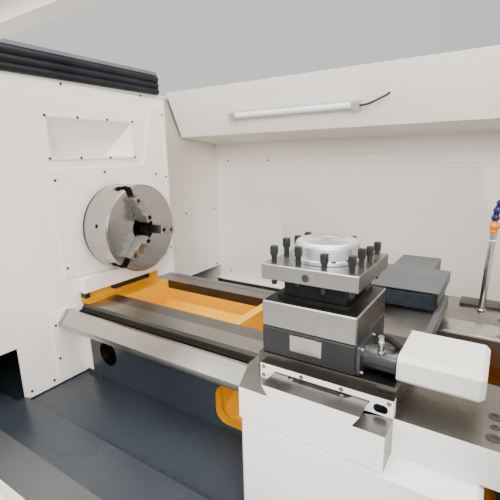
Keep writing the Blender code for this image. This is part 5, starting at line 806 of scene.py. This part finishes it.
fitting = added("nozzle_fitting", [
    stood(turned_rings(TEE_PROFILE), at_chuck(*PIPE_TIP), UP),
    stood(turned_rings(TAP_PROFILE), at_chuck(*PIPE_TIP) + TAP_FROM_TIP, TAP_AXIS)],
    FITTING_ORANGE, "saddle")
added("nozzle_links", nozzle_links(), HOSE_BLUE, "saddle")
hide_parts("coolant_nozzle")
rise = np.array(PIPE_TIP) - np.array(PIPE_FOOT)
PIPE_PROFILE = [(0.0080, 0.0), (0.0080, 0.0150), (0.0069, 0.0160), (0.0069, float(np.linalg.norm(rise)))]
pipe = added("bright_coolant_pipe", [stood(turned_rings(PIPE_PROFILE, 32), at_chuck(*PIPE_FOOT), rise)],
             PIPE_CHROME, "saddle")
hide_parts("coolant_pipe")
added("pipe_ring", [stood(turned_rings(RING_PROFILE), at_chuck(*RING_PLACE), UP)],
      RING_WHITE, "saddle")


# Cross slide: a ground casting on the dovetail, brown with oil in front, and a white wiper casting with
# a slot for the gib screw, whose walls and a black plate behind it are painted shade. Small bright screws
# hold the wiper, a black strip on the slide's top is the painted shade of a groove line, and a dark bar
# runs along the right.
SLIDE_STEEL = ground_steel("ground_slide", (0.44, 0.425, 0.40), (0.30, 0.288, 0.27), LINES_ALONG_Y,
                           (0.26, 0.44))
SLIDE_DARK = ground_steel("oiled_slide", (0.165, 0.154, 0.138), (0.100, 0.093, 0.083), LINES_ALONG_Y,
                          (0.22, 0.38))
SLIDE_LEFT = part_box("cross_slide")[0].x
OILED_END = -0.110
finished("cross_slide", [SLIDE_STEEL, WHITE, SLIDE_DARK], 0.0003, cuts=[(at_chuck(0, OILED_END, 0), REAR)],
         paint_by=lambda middle, normal: 1 if normal.x < -0.9 and middle.x < SLIDE_LEFT + 0.001
         else 2 if middle.y < chuck_face.y + OILED_END else 0)
# A thin black strip on the slide's top stands for the dark line at a groove: painted shade.
LEDGE_BLACK = enamel("ledge_line_painted_shade", (0.020, 0.017, 0.014), (0.035, 0.030, 0.025), (0.35, 0.5),
                     (900.0, 0.1), 30.0)
LEDGE_SIZE = (0.208, 0.0028, 0.0010, 0.0008, 0.0004)
LEDGE_PLACE = (0.6675, -0.2766, -0.1131)
plates("slide_ledge_shade_line", LEDGE_SIZE, [LEDGE_PLACE], UP, RIGHT, LEDGE_BLACK, "cross_slide")
WIPER_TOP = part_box("slide_wiper")[1].z
WIPER_FACE = -0.2903
SLOT_ACROSS = (0.7478, 0.7687)
SLOT_UP = (-0.1472, -0.1333)


def wiper_paint(middle, normal):
    """White face, black slot as painted shade in the hole, and the top brown with oil like the slide behind
    it.
    """
    if normal.z > 0.9 and middle.z > WIPER_TOP - 0.001:
        return 2
    return int(abs(normal.y) < 0.5 and SLOT_ACROSS[0] < middle.x - chuck_face.x < SLOT_ACROSS[1]
               and SLOT_UP[0] < middle.z - chuck_face.z < SLOT_UP[1])


finished("slide_wiper", [WHITE, SLOT_BLACK, SLIDE_DARK], 0.0004, paint_by=wiper_paint)
# A black plate behind the slot stands for the shade inside it: painted shade.
SLOT_SHADE_SIZE = (0.0185, 0.0115, 0.0030, 0.005, 0.0004)
SLOT_SHADE_PLACE = (0.75825, -0.2788, -0.14025)
plates("wiper_slot_shade_plate", SLOT_SHADE_SIZE, [SLOT_SHADE_PLACE], FRONT, RIGHT, SLOT_BLACK,
       "cross_slide")
GIB_SCREW_SIZE = (0.0045, 0.0055)
GIB_SCREW_PLACE = (0.7535, -0.2815, -0.14025)
screws("gib_screw", GIB_SCREW_SIZE, [GIB_SCREW_PLACE], FRONT, TURNED_DARK, "cross_slide")
WIPER_SCREW_SIZE = (0.0034, 0.0010, 0.45)
WIPER_SCREWS = ((0.5760, -0.1295), (0.5760, -0.1435), (0.641, -0.1285), (0.703, -0.1285), (0.7690, -0.1290))
screws("wiper_screws", WIPER_SCREW_SIZE, [(x, WIPER_FACE, z) for x, z in WIPER_SCREWS], FRONT, JAW_STEEL,
       "cross_slide")
BAR_GREY = enamel("bar_grey", (0.085, 0.088, 0.094), (0.060, 0.063, 0.068), (0.40, 0.55), (800.0, 0.12), 12.0)
finished("slide_bar", BAR_GREY, 0.0010)


# Tool post base: a charcoal enamelled casting on the slide, with a blank bare name plate. A dark motor
# is flanged to its right side with four bolts, and a black spiral conduit rises from the motor's gland
# and bends over into the white motor cover.
MOTOR_GREY = ground_steel("motor_grey", (0.095, 0.098, 0.110), (0.055, 0.057, 0.066), (60.0, 400.0, 400.0),
                          (0.30, 0.42), 0.04, 20.0, 0.85)
CHARCOAL = enamel("charcoal_enamel", (0.022, 0.022, 0.024), (0.014, 0.014, 0.015), (0.30, 0.44),
                  (650.0, 0.12), 12.0, 0.35)
COVER_WHITE = enamel("cover_white", (0.84, 0.84, 0.79), (0.76, 0.76, 0.70), (0.30, 0.42), (520.0, 0.14), 6.0)
finished("tool_post_base", CHARCOAL)
finished("turret_motor", MOTOR_GREY, 0.0008)
finished("motor_cover", COVER_WHITE, 0.0015, segments=3)
FLANGE_SIZE = (0.066, 0.0445, 0.0050, 0.003, 0.0008)
FLANGE_PLACE = (0.7175, -0.2400, -0.0904)
plates("motor_flange", FLANGE_SIZE, [FLANGE_PLACE], RIGHT, REAR, MOTOR_GREY, "cross_slide")
FLANGE_BOLT_SIZE = (0.0022, 0.0034)
FLANGE_BOLTS = [(0.7224, y, z) for y in (-0.2680, -0.2120) for z in (-0.0725, -0.1080)]
screws("motor_flange_bolts", FLANGE_BOLT_SIZE, FLANGE_BOLTS, RIGHT, JAW_STEEL, "cross_slide")
GLAND_FOOT = (0.7455, -0.2500, -0.0790)
GLAND_AXIS = (0, -0.2, 1)
GLAND_PROFILE = [(0.0060, 0.0), (0.0060, 0.003), (0.0044, 0.0035), (0.0044, 0.0150), (0.0055, 0.0155),
                 (0.0055, 0.0200), (0.0046, 0.0210), (0.0042, 0.0270)]
added("motor_gland", [stood(turned_rings(GLAND_PROFILE, 12), at_chuck(*GLAND_FOOT), GLAND_AXIS)],
      SCREW_STEEL, "cross_slide")
CONDUIT_ROUTE = ((0.7465, -0.2520, -0.0580), (0.7500, -0.2515, -0.0555), (0.7560, -0.2490, -0.0580),
                 (0.7610, -0.2430, -0.0640), (0.7640, -0.2340, -0.0720), (0.7680, -0.2260, -0.0790),
                 (0.7760, -0.2200, -0.0830))
CONDUIT_RADIUS = 0.0038
CONDUIT_RIDGE = 0.0008
CONDUIT_PITCH = 0.0030
CONDUIT_RINGS = 220


def ribbed_hose(points, radius, ridge, pitch, count, around=14):
    """Rings along a smooth curve through the points, a cubic between each two: the radius is the
    hose's plus a ridge times the sine of the way travelled over the pitch."""
    points = np.asarray(points, float)
    knots = np.linspace(0.0, len(points) - 1.0, count)
    padded = np.concatenate([points[:1] * 2 - points[1:2], points, points[-1:] * 2 - points[-2:-1]])
    first = np.minimum(knots.astype(int), len(points) - 2)
    t = (knots - first)[:, None]
    a, b, c, d = (padded[first + k] for k in range(4))
    path = 0.5 * (2 * b + (c - a) * t + (2 * a - 5 * b + 4 * c - d) * t ** 2
                  + (3 * b - a - 3 * c + d) * t ** 3)
    along = np.gradient(path, axis=0)
    along /= np.linalg.norm(along, axis=1)[:, None]
    travelled = np.concatenate([[0.0], np.cumsum(np.linalg.norm(np.diff(path, axis=0), axis=1))])
    side = np.cross(along, (0.3, 0.2, 1.0))
    side /= np.linalg.norm(side, axis=1)[:, None]
    up = np.cross(along, side)
    turn = np.linspace(0.0, math.tau, around, endpoint=False)
    size = (radius + ridge * np.sin(travelled / pitch * math.tau))[:, None, None]
    ring = np.cos(turn)[None, :, None] * side[:, None, :] + np.sin(turn)[None, :, None] * up[:, None, :]
    return path[:, None, :] + ring * size


conduit = added("spiral_conduit", [ribbed_hose([at_chuck(*place) for place in CONDUIT_ROUTE],
                                               CONDUIT_RADIUS, CONDUIT_RIDGE, CONDUIT_PITCH, CONDUIT_RINGS)],
                SLOT_BLACK, "cross_slide")
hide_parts("motor_conduit")
PLATE_GREY = ground_steel("bare_nameplate", (0.62, 0.60, 0.56), (0.45, 0.43, 0.40), LINES_ALONG_X,
                          (0.35, 0.5), 0.05, 60.0)
POST_FACE = -0.275
NAMEPLATE_SIZE = (0.0515, 0.0258, 0.0008, 0.001, 0.0003)
NAMEPLATE_PLACE = np.array((0.640, POST_FACE, -0.0862))
PIN_SIZE = (0.0013, 0.0016, 0.3)
PIN_PLACES = [NAMEPLATE_PLACE + (x, 0.0, z) for x in (-0.0235, 0.0235) for z in (-0.0107, 0.0107)]
added("base_nameplate", [stood(edged_plate(*NAMEPLATE_SIZE), at_chuck(*NAMEPLATE_PLACE), FRONT, RIGHT)]
      + [stood(socket_screw(*PIN_SIZE), at_chuck(*place), FRONT) for place in PIN_PLACES],
      PLATE_GREY, "cross_slide")
TAB_SIZE = (0.008, 0.004, 0.0016, 0.0008, 0.0005)
TAB_PLACES = [(x, POST_FACE, -0.0692) for x in (0.619, 0.660)]
plates("base_tabs", TAB_SIZE, TAB_PLACES, FRONT, RIGHT, SCREW_BLACK, "cross_slide")


# Tool post: a ground steel block with a black neck, and a ground clamp plate with twelve black
# square-headed bolts screwed through it. The right sides of block and plate are a darker steel as painted
# shade. A turned aluminium cap with a notched flange closes its top; the notches are black discs as painted
# shade.
PLATE_SCREW_SIZE = (0.0058, 0.0012)
PLATE_SCREW_PLACE = (0.639, POST_FACE, 0.0205)
screws("clamp_plate_screw", PLATE_SCREW_SIZE, [PLATE_SCREW_PLACE], FRONT, SCREW_BLACK,
       "tool_post")
BLOCK_STEEL = ground_steel("ground_block", (0.46, 0.448, 0.43), (0.33, 0.32, 0.305), LINES_ALONG_Z,
                           (0.24, 0.40), 0.05)
# The block's right side gets this darker steel: painted shade.
BLOCK_SHADE = ground_steel("ground_block_painted_shade", (0.145, 0.140, 0.130), (0.105, 0.100, 0.093), LINES_ALONG_Z,
                           (0.26, 0.42), 0.05)
SEAT_LEVEL = -0.025


def block_paint(middle, normal):
    """Neck and seat black, the right side darker than the rest as painted shade."""
    if middle.z > chuck_face.z + SEAT_LEVEL - 0.0005:
        return 1
    return 2 if normal.x > 0.9 else 0


finished("tool_post_block", [BLOCK_STEEL, SLOT_BLACK, BLOCK_SHADE], 0.0003, paint_by=block_paint)
POST_X, POST_Y = 0.641, -0.199
PLATE_BOTTOM = 0.010
PLATE_TOP = 0.034
PLATE_WIDTH = 0.152
PLATE_CHAMFER = 0.0010


def chamfered_plate(width, thick, edge):
    """Square plate whose four sides meet its top and bottom in narrow chamfers."""
    half = width / 2
    corners = np.array([(half, half), (-half, half), (-half, -half), (half, -half)])
    inner = corners * (1 - edge / half)
    return levelled([(inner, 0.0), (corners, edge), (corners, thick - edge), (inner, thick)])


plate_rings = chamfered_plate(PLATE_WIDTH, PLATE_TOP - PLATE_BOTTOM, PLATE_CHAMFER)
clamp = added("clamp_plate_ground", [stood(plate_rings, at_chuck(POST_X, POST_Y, PLATE_BOTTOM), UP, RIGHT)],
              BLOCK_STEEL, "tool_post", math.radians(20))
# The plate's right side is a darker steel: painted shade.
clamp.data.materials.append(BLOCK_SHADE)
for side in clamp.data.polygons:
    side.material_index = int(side.normal.x > 0.9)
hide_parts("clamp_plate")
BOLT_BLACK = enamel("bolt_black", (0.010, 0.011, 0.013), (0.020, 0.021, 0.024), (0.28, 0.42),
                    (900.0, 0.15), 60.0, 0.3)
BOLT_PITCH = 0.041
BOLT_END = -0.001
BOLT_HEAD = (0.0104, 0.0104, 0.0022)
STEM_RADIUS = 0.0043
COLLAR_RADIUS = 0.0060
COLLAR_FOOT = 0.0455 - BOLT_END
HEAD_FOOT = 0.0480 - BOLT_END
HEAD_TOP = 0.0605 - BOLT_END
BOLT_DROPS = {             # how far the bolt in a row and column is screwed down below the others
    (0, 1): -0.0026, (0, 2): 0.0035, (0, 3): 0.0018, (1, 0): -0.0045, (2, 0): -0.0014,
    (2, 3): 0.0050, (3, 3): 0.0060,
}


def clamp_bolt():
    """Bolt from its tip up: round stem, round collar, then a square head with rounded corners and top.
    Every ring has 20 points, so the round ones are drawn at the same turns as the square's."""
    square = plate_outline(*BOLT_HEAD)
    turn = np.arctan2(square[:, 1], square[:, 0])
    circle = np.stack([np.cos(turn), np.sin(turn)], axis=-1)
    stem, collar = circle * STEM_RADIUS, circle * COLLAR_RADIUS
    return levelled([
        (stem * 0.8, 0.0), (stem, 0.0012), (stem, COLLAR_FOOT), (collar, COLLAR_FOOT + 0.0005),
        (collar, HEAD_FOOT), (square * 0.96, HEAD_FOOT + 0.0006), (square, HEAD_FOOT + 0.0014),
        (square, HEAD_TOP - 0.0016), (square * 0.92, HEAD_TOP - 0.0004), (square * 0.70, HEAD_TOP)])


bolt_places = [(POST_X + (column - 1.5) * BOLT_PITCH, POST_Y + (row - 1.5) * BOLT_PITCH,
                BOLT_END - BOLT_DROPS.get((row, column), 0.0))
               for row in range(4) for column in range(4) if not (0 < row < 3 and 0 < column < 3)]
added("clamp_bolts", [stood(clamp_bolt(), at_chuck(*place), UP, RIGHT) for place in bolt_places],
      BOLT_BLACK, "tool_post")
CAP_ALUMINIUM = turned_steel("turned_aluminium", (0.74, 0.74, 0.76), (0.62, 0.62, 0.64),
                             tuple(at_chuck(POST_X, POST_Y, 0.05)), UP, (0.36, 0.46))
CAP_PROFILE = [(0.0530, 0.0343), (0.0540, 0.0350), (0.0540, 0.0400), (0.0532, 0.0408), (0.0502, 0.0410),
               (0.0500, 0.0420), (0.0500, 0.0580), (0.0493, 0.0610), (0.0475, 0.0635), (0.0448, 0.0650),
               (0.0415, 0.0655), (0.0405, 0.0658), (0.0365, 0.0658), (0.0355, 0.0652), (0.0240, 0.0652),
               (0.0232, 0.0657), (0.0205, 0.0657), (0.0198, 0.0652), (0.0060, 0.0652)]
cap = added("turned_cap", [stood(turned_rings(CAP_PROFILE, 96), at_chuck(POST_X, POST_Y, 0.0), UP)],
            CAP_ALUMINIUM, "tool_post")
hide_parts("tool_post_cap")
NOTCH_PROFILE = [(0.0042, 0.0), (0.0042, 0.0013), (0.0038, 0.0016)]
NOTCH_TURNS = (-58, -32, 148, 122)
NOTCH_REACH = 0.0515
NOTCH_LEVEL = 0.0400
notch_places = [(POST_X + NOTCH_REACH * math.cos(turn), POST_Y + NOTCH_REACH * math.sin(turn), NOTCH_LEVEL)
                for turn in np.radians(NOTCH_TURNS)]
# Black discs on the flange stand for the shade in its notches: painted shade.
added("cap_notch_painted_shade", [stood(turned_rings(NOTCH_PROFILE, 16), at_chuck(*place), UP)
                             for place in notch_places], SLOT_BLACK, "tool_post")


# Tailstock: a cream enamelled casting that slides on the ways, with a turned steel quill and a
# blackened hand wheel.
finished("tailstock_body", CREAM)
finished("tailstock_quill", CHUCK_STEEL, 0.0006)
finished("tailstock_handwheel", TURNED_DARK, 0.0012)


# Door and controls: the door has a clear pane and a black pull handle. The control is a grey housing
# with a dark screen, black moulded knobs and a red emergency stop.
def clear_pane(name, colour):
    """Slightly grey clear pane with a faint haze in its gloss."""
    made, tree, shader = blank_material(name)
    place = tree.nodes.new("ShaderNodeTexCoord").outputs["Object"]
    haze = noise(tree, place, 8.0)
    fed(tree, shader, {"Base Color": (*colour, 1.0), "Roughness": ranged(tree, haze, 0.04, 0.12, 0.3, 0.7),
                       "Transmission Weight": 0.9})
    return made


HANDLE_BLACK = enamel("handle_black", (0.018, 0.018, 0.019), (0.030, 0.030, 0.031), (0.34, 0.48),
                      (1100.0, 0.12), 20.0)
STOP_RED = enamel("stop_red", (0.60, 0.015, 0.012), (0.50, 0.010, 0.010), (0.22, 0.32), (1200.0, 0.05), 30.0)
finished("door_window", clear_pane("window_pane", (0.86, 0.90, 0.90)))
finished("door_handle", HANDLE_BLACK)
finished("control_housing", GREY)
finished("control_screen", clear_pane("screen_pane", (0.02, 0.03, 0.04)))
finished("mode_knob", HANDLE_BLACK, 0.0006)
finished("panel_handwheel", HANDLE_BLACK, 0.0006)
finished("emergency_stop", STOP_RED, 0.001)


# Outside fittings: pressed louvres on the electrical cabinet and two screwed covers on the rear guard.
# Each louvre is a shallow rounded rib, and the covers are thin sheet with screws along their edges.
LEFT = (-1, 0, 0)
END_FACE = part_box("electrical_cabinet")[0].x - chuck_face.x
LOUVRE_SIZE = (0.105, 0.013, 0.0040, 0.006, 0.0030)
LOUVRE_COLUMNS = (0.605, 0.735)
LOUVRE_FOOT = -0.72
LOUVRE_PITCH = 0.024
plates("cabinet_louvres", LOUVRE_SIZE, [(END_FACE, middle, LOUVRE_FOOT + LOUVRE_PITCH * row)
                                        for middle in LOUVRE_COLUMNS for row in range(9)],
       LEFT, REAR, CREAM, "frame")
REAR_FACE = 0.512
COVER_SIZE = (0.46, 0.30, 0.0020, 0.006, 0.0008)
COVER_MIDDLES = (0.33, 0.97)
COVER_LEVEL = 0.10
REAR_SCREW_SIZE = (0.0045, 0.0030)
plates("rear_covers", COVER_SIZE, [(middle, REAR_FACE, COVER_LEVEL) for middle in COVER_MIDDLES],
       REAR, RIGHT, CREAM, "frame")
screws("rear_cover_screws", REAR_SCREW_SIZE, [(middle + x, REAR_FACE + 0.0019, COVER_LEVEL + z)
                                              for middle in COVER_MIDDLES for x in (-0.215, 0.0, 0.215)
                                              for z in (-0.136, 0.136)],
       REAR, SCREW_BLACK, "frame")
